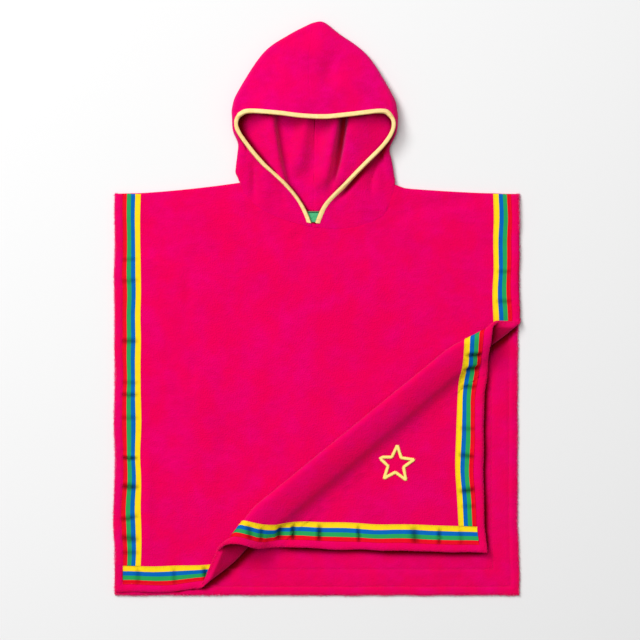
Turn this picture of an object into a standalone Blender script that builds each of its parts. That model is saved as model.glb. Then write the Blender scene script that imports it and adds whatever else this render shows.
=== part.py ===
"""Hooded bath poncho of terry towelling, laid out flat with its front upwards.

The front's lower right corner is pushed up towards the middle, so the front stands in one soft
pleat that runs diagonally from the hem to the right edge. The hood lies flattened above the body
with its face opening upwards.

Axes: +X across the body, +Y from hem to hood, +Z up from the surface that the garment lies on.
The origin is the centre of the whole outline, on that surface. Sizes are in metres; the columns
of the tables are in millimetres and degrees.
"""

import functools
import math
from collections import namedtuple

import bmesh
import bpy
from mathutils import Matrix, Vector
from mathutils.geometry import delaunay_2d_cdt

MM = 0.001
UP = Vector((0, 0, 1))

# Cloth
TERRY = 0.0030
SEAM_GAP = 0.0003
FRONT_TOP = 2 * TERRY + SEAM_GAP

# Body panels
BODY_HALF = 0.300
SHOULDER_Y = 0.170
FRONT_HEM_Y = -0.4205
BACK_HEM_Y = -0.4255
PLEAT_SIDE_Y = -0.060
EDGE_BOW = 0.009
HEM_WIDTH = 0.0115
HEM_RISE = 0.0012

# Neck: half an ellipse, tilted and skewed as the hood pulls it
NECK_X = 0.0022
NECK_Y = 0.1834
NECK_HALF = 0.1166
NECK_TILT = -0.0037
NECK_SKEW = 0.0105
FRONT_DROP = 0.0620
BACK_DROP = 0.0385
NECK_POINTS = 24

# Ribbon sewn round the front, inside its hems
RIBBON_WIDTH = 0.0270
RIBBON_THICKNESS = 0.0007
RIBBON_WANDER = 0.0022

# Where the front's corner lies once it is pushed up, and how far it is turned
CORNER_SHIFT = Vector((-0.049, 0.058))
CORNER_TURN = math.radians(-1.6)

# The pleat: runs at this angle, and leaves the back panel along these distances across it
PLEAT_ANGLE = math.radians(39.7)
PLEAT_START_EDGE = 0.2025
PLEAT_START_MIDDLE = 0.1925
PLEAT_HEM_T = -0.345
PLEAT_SIDE_T = 0.190
PLEAT_FLARE = 0.090
# Near the hem the pleat's crest also slides along the pleat, by this much where the slide is full
PLEAT_SLIDE = 0.021
PLEAT_SLIDE_FADE = 0.120
PLEAT_SLIDE_PEAK = 0.33
LATTICE_STEP = 0.026

PleatStep = namedtuple("PleatStep", "name edge_length edge_angle middle_length middle_angle pieces")
# Lengths of cloth and the angle that each stretch ends at, near the free edges and in the middle.
# The slope's length is whatever brings the cloth back down.
PLEAT = (
    PleatStep("turn_up", 14.0, 155.0, 12.0, 172.0, 5),
    PleatStep("leaf", 30.0, 140.0, 20.0, 168.0, 3),
    PleatStep("roll", 22.0, 4.0, 20.0, -5.0, 6),
    PleatStep("crown", 30.0, -32.0, 24.0, -25.0, 4),
    PleatStep("slope", 0.0, -36.0, 0.0, -60.0, 3),
    PleatStep("settle", 38.0, 0.0, 14.0, 0.0, 5),
)
PLEAT_SUBSTEPS = 8

# Hood
HOOD_ROWS = 29
FOLD_RADIUS = 0.008
FOLD_SHARE = 0.80
NECK_FOLD_RADIUS = 0.0022
NECK_FOLD_FADE = 0.13
HOOD_SIDE_INSET = 0.0012
HOOD_LOW_INSET = 0.0014
FLOOR_Z = TERRY / 2
BOW_FADE = 0.28
TAPE_REACH = 0.0062
TAPE_THICKNESS = 0.0010
TAPE_GAP = 0.0009
# Points of the tape's section that run away from the face edge: their triangles match the hood's
TAPE_OUTWARD_LEGS = (5, 6, 13, 14)
TOP_COLUMNS = 8
FOLD_COLUMNS = 6
FLOOR_COLUMNS = 20
CROWN_SEAM_BOW = 0.0065
BACK_SEAM_X = -0.0045

HoodRow = namedtuple("HoodRow", "face_x face_y face_z dome side_z fold_x fold_y seam_y")
# Each row crosses half the hood: from its face edge, over the upper layer to the fold at its
# side, and under to the centre back seam. The first row is the neck, the last the crown seam.
HOOD_LEFT = (
    HoodRow(-7.4, 123.8, 7.6, 0.0, 6.8, -112.4, 190.0, 146.8),
    HoodRow(-22.0, 154.9, 11.5, -1.0, 9.0, -118.5, 201.0, 167.0),
    HoodRow(-43.5, 182.2, 15.5, -2.0, 10.5, -119.9, 211.0, 185.0),
    HoodRow(-79.0, 214.6, 19.0, -2.5, 12.0, -116.9, 228.0, 213.0),
    HoodRow(-105.0, 245.3, 22.5, -1.5, 15.0, -115.8, 245.0, 241.0),
    HoodRow(-118.0, 266.1, 25.5, 0.0, 20.0, -123.2, 263.6, 263.5),
    HoodRow(-118.8, 279.2, 27.5, 0.0, 24.0, -124.5, 280.7, 283.0),
    HoodRow(-112.0, 286.2, 29.0, 0.0, 25.0, -124.6, 297.0, 300.5),
    HoodRow(-98.2, 290.2, 30.5, 2.0, 22.0, -115.8, 321.5, 321.5),
    HoodRow(-57.8, 287.3, 33.0, 7.0, 15.0, -78.7, 378.0, 351.0),
    HoodRow(-28.2, 283.6, 34.0, 9.0, 13.0, -40.1, 405.4, 372.0),
    HoodRow(-4.6, 281.8, 34.5, 9.0, 12.0, -6.7, 422.5, 390.0),
)
HOOD_RIGHT = (
    HoodRow(-3.6, 123.2, 7.6, 0.0, 6.8, 118.0, 181.9, 146.8),
    HoodRow(11.5, 154.9, 12.5, -2.0, 8.5, 115.0, 191.5, 167.0),
    HoodRow(40.5, 184.5, 17.5, -4.0, 10.0, 113.9, 205.0, 185.0),
    HoodRow(72.3, 216.4, 22.0, -5.0, 11.5, 111.1, 220.5, 213.0),
    HoodRow(97.6, 241.6, 25.0, -3.0, 15.0, 106.4, 238.0, 241.0),
    HoodRow(110.6, 260.9, 27.0, 0.0, 20.0, 116.2, 259.9, 263.5),
    HoodRow(113.2, 276.2, 28.5, 0.0, 24.0, 118.6, 278.5, 283.0),
    HoodRow(106.5, 286.0, 29.5, 0.0, 25.0, 117.3, 294.1, 300.5),
    HoodRow(93.8, 290.2, 30.5, 2.0, 22.0, 110.9, 315.5, 321.5),
    HoodRow(52.7, 285.6, 33.0, 7.0, 15.0, 74.8, 373.5, 351.0),
    HoodRow(21.1, 282.1, 34.0, 9.0, 13.0, 32.3, 406.4, 372.0),
    HoodRow(7.4, 281.6, 34.3, 9.0, 12.5, 9.2, 423.6, 382.0),
    HoodRow(-4.6, 281.8, 34.5, 9.0, 12.0, -6.7, 422.5, 390.0),
)

SoftFold = namedtuple("SoftFold", "top_x top_y low_x low_y height width")
# Soft folds that stand up in the hood's back layer, inside the face opening
INNER_FOLDS = (
    SoftFold(-80.0, 283.0, -56.0, 190.0, 10.0, 15.0),
    SoftFold(-24.0, 283.0, -22.0, 178.0, 9.0, 14.0),
    SoftFold(25.0, 283.0, 6.0, 186.0, 11.0, 11.0),
    SoftFold(62.0, 283.0, 38.0, 190.0, 10.5, 13.0),
)
# Folds down the hood's sides, outside the face opening: troughs where the height is negative
SIDE_FOLDS = (
    SoftFold(-101.0, 236.0, -93.0, 172.0, -3.0, 8.0),
    SoftFold(-84.0, 228.0, -76.0, 160.0, 2.5, 10.0),
    SoftFold(84.0, 226.0, 80.0, 158.0, -3.0, 8.0),
    SoftFold(73.0, 214.0, 66.0, 160.0, 2.5, 9.0),
    SoftFold(97.0, 228.0, 94.0, 168.0, 2.5, 9.0),
)
FOLD_FADE = 0.030

# Label sewn inside the back neck
LABEL_X = -0.0065
LABEL_WIDTH = 0.0380
LABEL_LENGTH = 0.0160
LABEL_THICKNESS = 0.0005

Finish = namedtuple("Finish", "colour roughness")
TERRY_PINK = Finish((0.806, 0.001, 0.107), 0.95)
STRIPED = Finish((0.130, 0.300, 0.160), 0.55)
TAPE_YELLOW = Finish((1.000, 0.730, 0.230), 0.60)
LABEL_GREEN = Finish((0.060, 0.430, 0.180), 0.60)


def smooth(value):
    """Ease from 0 to 1, held at both ends."""
    value = min(max(value, 0.0), 1.0)
    return value * value * (3 - 2 * value)


def mix(first, second, share):
    """Blend two numbers or vectors."""
    return first * (1 - share) + second * share


def steps(start, end, count):
    """Evenly spaced numbers from start to end, both included."""
    return [start + (end - start) * i / (count - 1) for i in range(count)]


# ---- Scene and meshes ----

def clear_scene():
    """Start from an empty scene."""
    for item in list(bpy.data.objects):
        bpy.data.objects.remove(item, do_unlink=True)


def new_collection(name):
    """Add a collection to the scene."""
    collection = bpy.data.collections.new(name)
    bpy.context.scene.collection.children.link(collection)
    return collection


def new_material(name, finish):
    """Make a plain cloth material of one colour and roughness."""
    material = bpy.data.materials.new(name)
    material.use_nodes = True
    shader = material.node_tree.nodes["Principled BSDF"]
    shader.inputs["Base Color"].default_value = (*finish.colour, 1)
    shader.inputs["Roughness"].default_value = finish.roughness
    shader.inputs["Metallic"].default_value = 0.0
    return material


def add_object(name, data, finish, collection):
    """Add one named piece with its own material."""
    piece = bpy.data.objects.new(name, data)
    collection.objects.link(piece)
    data.materials.append(new_material(name, finish))
    return piece


def cloth_wall(name, outer, inner, faces):
    """Close two skins of cloth, point for point alike, into one wall round their free edges.

    The faces run anticlockwise as seen from the outer skin.
    """
    shell = bmesh.new()
    outer_verts = [shell.verts.new(p) for p in outer]
    inner_verts = [shell.verts.new(p) for p in inner]
    for face in faces:
        shell.faces.new([outer_verts[i] for i in face])
        shell.faces.new([inner_verts[i] for i in reversed(face)])
    sides = {(a, b) for face in faces for a, b in zip(face, face[1:] + face[:1])}
    for a, b in sorted(sides):
        if (b, a) not in sides:
            shell.faces.new((outer_verts[b], outer_verts[a], inner_verts[a], inner_verts[b]))
    loose = [v for v in shell.verts if not v.link_faces]
    bmesh.ops.delete(shell, geom=loose, context="VERTS")
    mesh = bpy.data.meshes.new(name)
    shell.to_mesh(mesh)
    shell.free()
    mesh.shade_smooth()
    mesh.set_sharp_from_angle(angle=math.radians(50))
    return mesh


# ---- Cut of the body panels ----

def neck_point(angle, drop, side_inset=0.0, low_inset=0.0):
    """Point of a neck edge. The angle runs from pi at the left shoulder to 2 pi at the right."""
    run = math.cos(angle)
    dip = -math.sin(angle)
    x = NECK_X + (NECK_HALF - side_inset) * run
    y = NECK_Y + NECK_TILT * run - (drop - low_inset) * dip - NECK_SKEW * run * dip
    return Vector((x, y))


def neck_edge(drop):
    """A panel's neck edge, from the right shoulder to the left."""
    return [neck_point(angle, drop) for angle in steps(2 * math.pi, math.pi, NECK_POINTS)]


def shoulder_y(x):
    """Height of the shoulder seam: level at the side, drawn up towards the neck."""
    neck_end = neck_point(math.pi if x < 0 else 2 * math.pi, 0.0)
    away = (abs(x) - abs(neck_end.x)) / (BODY_HALF - abs(neck_end.x))
    return SHOULDER_Y + (neck_end.y - SHOULDER_Y) * (1 - away) ** 2


def shoulder(side):
    """Points of one shoulder seam between the side and the neck, without the neck's end."""
    neck_x = abs(neck_point(math.pi if side < 0 else 2 * math.pi, 0.0).x)
    return [Vector((side * x, shoulder_y(side * x))) for x in steps(BODY_HALF, neck_x, 7)[:-1]]


def edge_bow(y):
    """Share of the right edge's bend inwards at a level: nothing above the pleat."""
    below = (PLEAT_SIDE_Y - y) / (PLEAT_SIDE_Y - FRONT_HEM_Y)
    return math.sin(math.pi * min(max(below, 0.0), 1.0))


def front_side_x(y):
    """Right edge of the front's cut, which the ribbon draws in a little below the pleat."""
    return BODY_HALF - EDGE_BOW * edge_bow(y)


def side_levels():
    """Levels at which the front's side edges have a point."""
    return steps(FRONT_HEM_Y, PLEAT_SIDE_Y, 9) + [SHOULDER_Y]


def panel_outline(hem_y, drop, side_edge):
    """Closed outline of a body panel, anticlockwise from its lower left corner."""
    right = shoulder(1)
    left = shoulder(-1)
    return [Vector((-BODY_HALF, hem_y))] + side_edge + right[1:] + neck_edge(drop) + left[::-1]


def front_outline():
    """The front's cut."""
    side_edge = [Vector((front_side_x(y), y)) for y in side_levels()]
    return panel_outline(FRONT_HEM_Y, FRONT_DROP, side_edge)


def back_outline():
    """The back's cut."""
    side_edge = [Vector((BODY_HALF, BACK_HEM_Y)), Vector((BODY_HALF, SHOULDER_Y))]
    return panel_outline(BACK_HEM_Y, BACK_DROP, side_edge)


# ---- Drape of the front ----

ALONG = Vector((math.cos(PLEAT_ANGLE), math.sin(PLEAT_ANGLE)))
ACROSS = Vector((math.sin(PLEAT_ANGLE), -math.cos(PLEAT_ANGLE)))
CORNER = Vector((BODY_HALF, FRONT_HEM_Y))
TURN = Matrix.Rotation(CORNER_TURN, 2)


def pushed(flat):
    """Where a point of the front's free corner lies after it is pushed up."""
    return CORNER + CORNER_SHIFT + TURN @ (flat - CORNER)


def middle_share(t):
    """1 along the middle of the pleat, 0 at its two free ends."""
    hem_side = smooth((t - PLEAT_HEM_T) / PLEAT_FLARE)
    right_side = smooth((PLEAT_SIDE_T - t) / PLEAT_FLARE)
    return hem_side * right_side


def pleat_start(t):
    """Distance across the pleat at which the front leaves the back panel."""
    return mix(PLEAT_START_EDGE, PLEAT_START_MIDDLE, middle_share(t))


def walk(lengths, angles):
    """Follow the cloth across the pleat: rows of length, distance, height and angle."""
    rows = [(0.0, 0.0, 0.0, 0.0)]
    heading = 0.0
    for step, length, angle in zip(PLEAT, lengths, angles):
        count = step.pieces * PLEAT_SUBSTEPS
        piece = length / count
        for i in range(count):
            bend = heading + (angle - heading) * (i + 0.5) / count
            total, run, rise, _ = rows[-1]
            rows.append((total + piece, run + piece * math.cos(bend), rise + piece * math.sin(bend),
                         heading + (angle - heading) * (i + 1) / count))
        heading = angle
    return rows


@functools.lru_cache(maxsize=None)
def pleat_section(t):
    """Section of the pleat at t, scaled so that it takes up the cloth that the push frees."""
    share = middle_share(t)
    lengths = [mix(s.edge_length, s.middle_length, share) * MM for s in PLEAT]
    angles = [math.radians(mix(s.edge_angle, s.middle_angle, share)) for s in PLEAT]
    slope = [s.name for s in PLEAT].index("slope")
    lengths[slope] = walk(lengths, angles)[-1][2] / -math.sin(angles[slope])
    rows = walk(lengths, angles)
    taken_up = rows[-1][0] - rows[-1][1]
    start = ACROSS * pleat_start(t) + ALONG * t
    freed = -(pushed(start) - start).dot(ACROSS)
    scale = freed / taken_up
    return [(total * scale, run * scale, rise * scale, angle) for total, run, rise, angle in rows]


def read_section(section, length):
    """Distance, height and angle at a length of cloth along a section."""
    low, high = 0, len(section) - 1
    while high - low > 1:
        middle = (low + high) // 2
        if section[middle][0] <= length:
            low = middle
        else:
            high = middle
    before, after = section[low], section[high]
    share = (length - before[0]) / (after[0] - before[0])
    return [mix(b, a, share) for b, a in zip(before[1:], after[1:])]


def pleat_slide(t, share):
    """Slide along the pleat at a share of its cloth: greatest at the crest, only near the hem."""
    rising = smooth(share / PLEAT_SLIDE_PEAK)
    falling = smooth((1 - share) / (1 - PLEAT_SLIDE_PEAK))
    return PLEAT_SLIDE * rising * falling * (1 - smooth((t - PLEAT_HEM_T) / PLEAT_SLIDE_FADE))


def drape(flat):
    """Carry a point of the front's flat cut to its upper face; also return the face's normal."""
    s, t = flat.dot(ACROSS), flat.dot(ALONG)
    taken = s - pleat_start(t)
    if taken <= 0:
        return Vector((*flat, FRONT_TOP)), UP
    section = pleat_section(round(t, 5))
    cloth = section[-1][0]
    if taken >= cloth:
        return Vector((*pushed(flat), FRONT_TOP)), UP
    run, rise, angle = read_section(section, taken)
    start = flat - ACROSS * taken
    end = pushed(start + ACROSS * cloth)
    drift = end - start - ACROSS * section[-1][1]
    place = start + ACROSS * run + drift * smooth(taken / cloth) + ALONG * pleat_slide(t, taken / cloth)
    lean = ACROSS * -math.sin(angle)
    return Vector((*place, FRONT_TOP + rise)), Vector((*lean, math.cos(angle)))


def hem_rise(flat):
    """How far the doubled hem stands up, nothing away from the side and lower edges."""
    edge = min(flat.x + BODY_HALF, front_side_x(flat.y) - flat.x, flat.y - FRONT_HEM_Y)
    if not 0 < edge < HEM_WIDTH:
        return 0.0
    return HEM_RISE * math.sin(math.pi * edge / HEM_WIDTH)


# ---- Front panel and its ribbons ----

def side_line(side, distance, levels):
    """Points at a distance inside the left (-1) or right (1) edge of the front's cut."""
    if side < 0:
        return [Vector((distance - BODY_HALF, y)) for y in levels]
    return [Vector((front_side_x(y) - RIBBON_WANDER * edge_bow(y) - distance, y)) for y in levels]


def side_strip(side, bottom):
    """Outline of the ribbon along one side of the front, anticlockwise."""
    levels = [bottom] + [y for y in side_levels() if y > bottom + HEM_WIDTH]
    near = side_line(side, HEM_WIDTH, levels)
    far = side_line(side, HEM_WIDTH + RIBBON_WIDTH, levels)
    return near[::-1] + far if side < 0 else near + far[::-1]


def hem_strip():
    """Outline of the ribbon along the hem, anticlockwise."""
    bottom = FRONT_HEM_Y + HEM_WIDTH
    top = bottom + RIBBON_WIDTH
    right = front_side_x(bottom) - HEM_WIDTH
    left = HEM_WIDTH - BODY_HALF
    return [Vector((left, bottom)), Vector((right, bottom)), Vector((right, top)), Vector((left, top))]


def pleat_lengths(t):
    """Lengths of cloth across the pleat at which the mesh has a line."""
    return [row[0] for row in pleat_section(t)][::PLEAT_SUBSTEPS]


def lattice():
    """Lines of the flat cut that the pleat's bends follow: points, and pairs of joined points."""
    first_t, last_t = PLEAT_HEM_T - 0.13, PLEAT_SIDE_T + 0.10
    stations = steps(first_t, last_t, round((last_t - first_t) / LATTICE_STEP) + 1)
    rows = [[ACROSS * (pleat_start(t) + length) + ALONG * t for length in pleat_lengths(round(t, 5))]
            for t in stations]
    width = len(rows[0])
    joined = [(j * width + i, j * width + i + 1) for j in range(len(rows)) for i in range(width - 1)]
    joined += [(j * width + i, (j + 1) * width + i) for j in range(len(rows) - 1) for i in range(width)]
    return [point for row in rows for point in row], joined


def hem_lines():
    """Middle lines of the three hems, where they stand highest."""
    middle = HEM_WIDTH / 2
    levels = [FRONT_HEM_Y + middle] + side_levels()[1:]
    right = side_line(1, middle, levels)
    left = side_line(-1, middle, levels)
    return left[::-1] + right


def cut_front():
    """Divide the front's cut into triangles; return points, triangles and the cuts each is in."""
    ribbon_bottom = FRONT_HEM_Y + HEM_WIDTH + RIBBON_WIDTH + SEAM_GAP
    cuts = [front_outline(), side_strip(-1, ribbon_bottom), side_strip(1, ribbon_bottom), hem_strip()]
    points, joined = lattice()
    hem = hem_lines()
    joined += [(len(points) + i, len(points) + i + 1) for i in range(len(hem) - 1)]
    points += hem
    loops = []
    for cut in cuts:
        loops.append(list(range(len(points), len(points) + len(cut))))
        points += cut
    found, _, triangles, _, _, owners = delaunay_2d_cdt(points, joined, loops, 1, 1e-6)
    kept = [(list(tri), set(owner)) for tri, owner in zip(triangles, owners) if 0 in owner]
    return found, kept


def skin(points, offset):
    """The draped front's face at each point of its cut, moved out by an offset."""
    draped = [drape(p) for p in points]
    return [place + normal * (offset + hem_rise(p)) for (place, normal), p in zip(draped, points)]


def make_front(collection):
    """The front panel and the three ribbons, which are cut from its own triangles."""
    points, triangles = cut_front()
    outer = skin(points, 0.0)
    inner = [place - normal * TERRY for place, normal in (drape(p) for p in points)]
    faces = [tri for tri, _ in triangles]
    add_object("front", cloth_wall("front", outer, inner, faces), TERRY_PINK, collection)
    under = skin(points, SEAM_GAP)
    over = skin(points, SEAM_GAP + RIBBON_THICKNESS)
    for cut, name in enumerate(("ribbon_front_left", "ribbon_front_right", "ribbon_front_hem"), 1):
        faces = [tri for tri, owner in triangles if cut in owner]
        add_object(name, cloth_wall(name, over, under, faces), STRIPED, collection)


# ---- Back panel and label ----

def flat_piece(name, outline, thickness, bottom, finish, collection):
    """A flat piece: a filled 2D outline with a thickness."""
    curve = bpy.data.curves.new(name, "CURVE")
    curve.dimensions = "2D"
    curve.fill_mode = "BOTH"
    curve.extrude = thickness / 2
    spline = curve.splines.new("POLY")
    spline.points.add(len(outline) - 1)
    for point, place in zip(spline.points, outline):
        point.co = (*place, 0, 1)
    spline.use_cyclic_u = True
    piece = add_object(name, curve, finish, collection)
    piece.location.z = bottom + thickness / 2
    return piece


def make_back(collection):
    """The back panel, flat on the surface."""
    flat_piece("back", back_outline(), TERRY, 0.0, TERRY_PINK, collection)


def make_label(collection):
    """The small label on the inside of the back neck, below its seam."""
    top = neck_point(1.5 * math.pi, BACK_DROP).y - 2 * SEAM_GAP
    left, right = LABEL_X - LABEL_WIDTH / 2, LABEL_X + LABEL_WIDTH / 2
    low = top - LABEL_LENGTH
    outline = [Vector(p) for p in ((left, low), (right, low), (right, top), (left, top))]
    flat_piece("neck_label", outline, LABEL_THICKNESS, TERRY + SEAM_GAP, LABEL_GREEN, collection)


# ---- Hood ----

def spline_value(values, place):
    """Read a smooth curve through evenly spaced values; place runs from 0 to 1."""
    spot = place * (len(values) - 1)
    i = min(int(spot), len(values) - 2)
    f = spot - i
    before = values[i - 1] if i > 0 else 2 * values[0] - values[1]
    after = values[i + 2] if i + 2 < len(values) else 2 * values[-1] - values[-2]
    here, there = values[i], values[i + 1]
    return here + 0.5 * f * (there - before + f * (2 * before - 5 * here + 4 * there - after
                                                   + f * (3 * (here - there) + after - before)))


def hood_row(table, place):
    """The hood's sizes at a place between its neck (0) and its crown seam (1), in metres."""
    return HoodRow(*(spline_value(column, place) * MM for column in zip(*table)))


def soft_fold_height(folds, x, y, beyond):
    """Height of soft folds, each fading in at its low end and out past its top by a distance."""
    height = 0.0
    for fold in folds:
        share = (fold.top_y * MM - y) / ((fold.top_y - fold.low_y) * MM)
        line = mix(fold.top_x, fold.low_x, min(max(share, -0.3), 1.0)) * MM
        fade = smooth((y - fold.low_y * MM) / FOLD_FADE)
        fade *= smooth((fold.top_y * MM + beyond - y) / FOLD_FADE)
        height += fold.height * MM * fade * math.exp(-((x - line) / (fold.width * MM)) ** 2)
    return height


def neck_bow(side, drop, end_x, share):
    """How far the neck edge bends away from the straight line between its ends."""
    insets = (HOOD_SIDE_INSET, HOOD_LOW_INSET)
    end = math.pi if side < 0 else 2 * math.pi
    start = math.pi + math.acos(-(end_x - NECK_X) / (NECK_HALF - HOOD_SIDE_INSET))
    here = neck_point(mix(start, end, share), drop, *insets)
    return here - mix(neck_point(start, drop, *insets), neck_point(end, drop, *insets), share)


def hood_section(table, side, place):
    """Points across half the hood at one place, and the indices where its fold starts and ends."""
    row = hood_row(table, place)
    face = Vector((row.face_x, row.face_y))
    fold = Vector((row.fold_x, row.fold_y))
    seam = Vector((BACK_SEAM_X, row.seam_y))
    inward = mix(Vector((0, -1)), (seam - fold).normalized(), smooth(place / NECK_FOLD_FADE)).normalized()
    radius = min(mix(NECK_FOLD_RADIUS, FOLD_RADIUS, smooth(place / NECK_FOLD_FADE)),
                 FOLD_SHARE * (face - fold).length)
    centre = fold + inward * radius
    bow = max(0.0, 1 - place / BOW_FADE) ** 2
    sway = CROWN_SEAM_BOW * smooth((place - 0.75) / 0.25)
    points = []
    for w in steps(0.0, 1.0, 41)[:-1]:
        spot = mix(face, centre, w) + neck_bow(side, FRONT_DROP, table[0].face_x * MM, w) * bow
        spot.x -= sway * 4 * w * (1 - w)
        z = mix(row.side_z, row.face_z, (1 - w) ** 2) + row.dome * 4 * w * (1 - w)
        z += soft_fold_height(SIDE_FOLDS, *spot, 0.0) * smooth(w / 0.2) * smooth((1 - w) / 0.2)
        points.append(Vector((*spot, z)))
    fold_start = len(points)
    half_height = (row.side_z - FLOOR_Z) / 2
    for angle in steps(math.pi / 2, -math.pi / 2, 25):
        spot = centre - inward * radius * math.cos(angle)
        points.append(Vector((*spot, FLOOR_Z + half_height * (1 + math.sin(angle)))))
    fold_end = len(points) - 1
    for w in steps(0.0, 1.0, 61)[1:]:
        spot = mix(centre, seam, w) + neck_bow(side, BACK_DROP, BACK_SEAM_X, 1 - w) * bow
        points.append(Vector((*spot, FLOOR_Z + soft_fold_height(INNER_FOLDS, *spot, 2 * FOLD_FADE))))
    return points, fold_start, fold_end


def resample(points, lengths):
    """Points at given lengths along a line of points."""
    found = []
    i, walked = 0, 0.0
    for length in lengths:
        while i < len(points) - 2 and walked + (points[i + 1] - points[i]).length < length:
            walked += (points[i + 1] - points[i]).length
            i += 1
        piece = (points[i + 1] - points[i]).length
        found.append(points[i].lerp(points[i + 1], min((length - walked) / piece, 1.0)))
    return found


def hood_columns(points, fold_start, fold_end):
    """Spread the mesh's columns over a section: tape, upper layer, fold and back layer."""
    runs = [0.0]
    for a, b in zip(points, points[1:]):
        runs.append(runs[-1] + (b - a).length)
    upper_end = max(runs[fold_start], TAPE_REACH + 2 * MM)
    lengths = [0.0, TAPE_REACH / 2]
    lengths += steps(TAPE_REACH, upper_end, TOP_COLUMNS + 1)
    lengths += steps(upper_end, runs[fold_end], FOLD_COLUMNS + 1)[1:]
    lengths += steps(runs[fold_end], runs[-1], FLOOR_COLUMNS + 1)[1:]
    return resample(points, lengths)


def hood_normals(grid, side):
    """Outward normals of a hood half; at the centre seam they stay in the seam's own plane."""
    rows, columns = len(grid), len(grid[0])
    normals = []
    for j in range(rows):
        line = []
        for i in range(columns):
            up = grid[min(j + 1, rows - 1)][i] - grid[max(j - 1, 0)][i]
            over = grid[j][min(i + 1, columns - 1)] - grid[j][max(i - 1, 0)]
            normal = over.cross(up) * -side
            if j == rows - 1 or i == columns - 1:
                normal.x = 0.0
            line.append(normal.normalized())
        normals.append(line)
    return normals


def grid_faces(rows, columns, flip):
    """Triangles of a grid of points, numbered row by row."""
    faces = []
    for j in range(rows - 1):
        for i in range(columns - 1):
            a, b = j * columns + i, j * columns + i + 1
            c, d = b + columns, a + columns
            faces += [[a, b, c], [a, c, d]]
    return [face[::-1] for face in faces] if flip else faces


def hood_grid(table, side):
    """Middle surface of a hood half and its normals, moved off the centre seam."""
    grid = [hood_columns(*hood_section(table, side, place)) for place in steps(0.0, 1.0, HOOD_ROWS)]
    for point in grid[-1][:-1] + [line[-1] for line in grid]:
        point.x += side * SEAM_GAP / 2
    return grid, hood_normals(grid, side)


def make_hood_half(name, grid, normals, side, collection):
    """One half of the hood: a wall from the face edge round to the centre back seam."""
    pairs = [(p, n) for line, lean in zip(grid, normals) for p, n in zip(line, lean)]
    outer = [p + n * TERRY / 2 for p, n in pairs]
    inner = [p - n * TERRY / 2 for p, n in pairs]
    faces = grid_faces(len(grid), len(grid[0]), side > 0)
    add_object(name, cloth_wall(name, outer, inner, faces), TERRY_PINK, collection)


def tape_section(points, normals):
    """Closed section of the tape that is folded over the hood's face edge."""
    near = TERRY / 2 + TAPE_GAP
    far = near + TAPE_THICKNESS
    edge = (points[0] - points[1]).normalized()
    tip = TAPE_GAP + TAPE_THICKNESS
    legs = list(zip(points, normals))
    outside = [p + n * far for p, n in reversed(legs)]
    outside += [points[0] + edge * tip * 0.8 + normals[0] * far * 0.62,
                points[0] + edge * tip * 0.8 - normals[0] * far * 0.62]
    outside += [p - n * far for p, n in legs]
    inside = [p - n * near for p, n in reversed(legs)]
    inside += [points[0] + edge * TAPE_GAP - normals[0] * near,
               points[0] + edge * TAPE_GAP + normals[0] * near]
    inside += [p + n * near for p, n in legs]
    return outside + inside


def make_binding(left, right, collection):
    """The tape round the whole face edge, from the neck up over the crown and down again."""
    sections = [tape_section(line[:3], lean[:3]) for line, lean in zip(*left)]
    other = [tape_section(line[:3], lean[:3]) for line, lean in zip(*right)]
    crown = [mix(a, b, 0.5) for a, b in zip(sections[-1], other[-1])]
    sections = sections[:-1] + [crown] + other[-2::-1]
    count = len(sections[0])
    tape = bmesh.new()
    rings = [[tape.verts.new(p) for p in section] for section in sections]
    for j, (ring, after) in enumerate(zip(rings, rings[1:])):
        for i in range(count):
            k = (i + 1) % count
            if (i in TAPE_OUTWARD_LEGS) == (j < len(left[0]) - 1):
                tape.faces.new((ring[i], ring[k], after[k]))
                tape.faces.new((ring[i], after[k], after[i]))
            else:
                tape.faces.new((ring[i], ring[k], after[i]))
                tape.faces.new((ring[k], after[k], after[i]))
    tape.faces.new(rings[0][::-1])
    tape.faces.new(rings[-1])
    bmesh.ops.recalc_face_normals(tape, faces=tape.faces[:])
    mesh = bpy.data.meshes.new("hood_binding")
    tape.to_mesh(mesh)
    tape.free()
    mesh.shade_smooth()
    mesh.set_sharp_from_angle(angle=math.radians(50))
    add_object("hood_binding", mesh, TAPE_YELLOW, collection)


def make_hood(collection):
    """Both halves of the hood and the tape on their face edge."""
    left = hood_grid(HOOD_LEFT, -1)
    right = hood_grid(HOOD_RIGHT, 1)
    make_hood_half("hood_left", *left, -1, collection)
    make_hood_half("hood_right", *right, 1, collection)
    make_binding(left, right, collection)


def main():
    """Build the garment."""
    clear_scene()
    garment = new_collection("hooded_bath_poncho")
    make_back(garment)
    make_front(garment)
    make_label(garment)
    make_hood(garment)


main()
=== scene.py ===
"""Detailed model of a hooded bath poncho of terry towelling, laid out flat.

Each cut-and-sewn piece is a class: it builds a thin draped shell on the form of its solid, with
its hems, seams, puckers and creases, and dresses it in its cloth.  Stitches, embroidery and the
loops of the terry at the edges are made with Geometry Nodes.

Axes: +X across the body, +Y from hem to hood, +Z up.  Sizes are in metres; the columns of the
tables are in millimetres and degrees.
"""

import logging
import math
from dataclasses import dataclass, field
from enum import Enum
from typing import Any, Iterable, NamedTuple, Optional, Sequence

import bmesh
import bpy
import numpy as np
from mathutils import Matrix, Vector, noise
from mathutils.bvhtree import BVHTree
from mathutils.geometry import delaunay_2d_cdt
from mathutils.kdtree import KDTree


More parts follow.
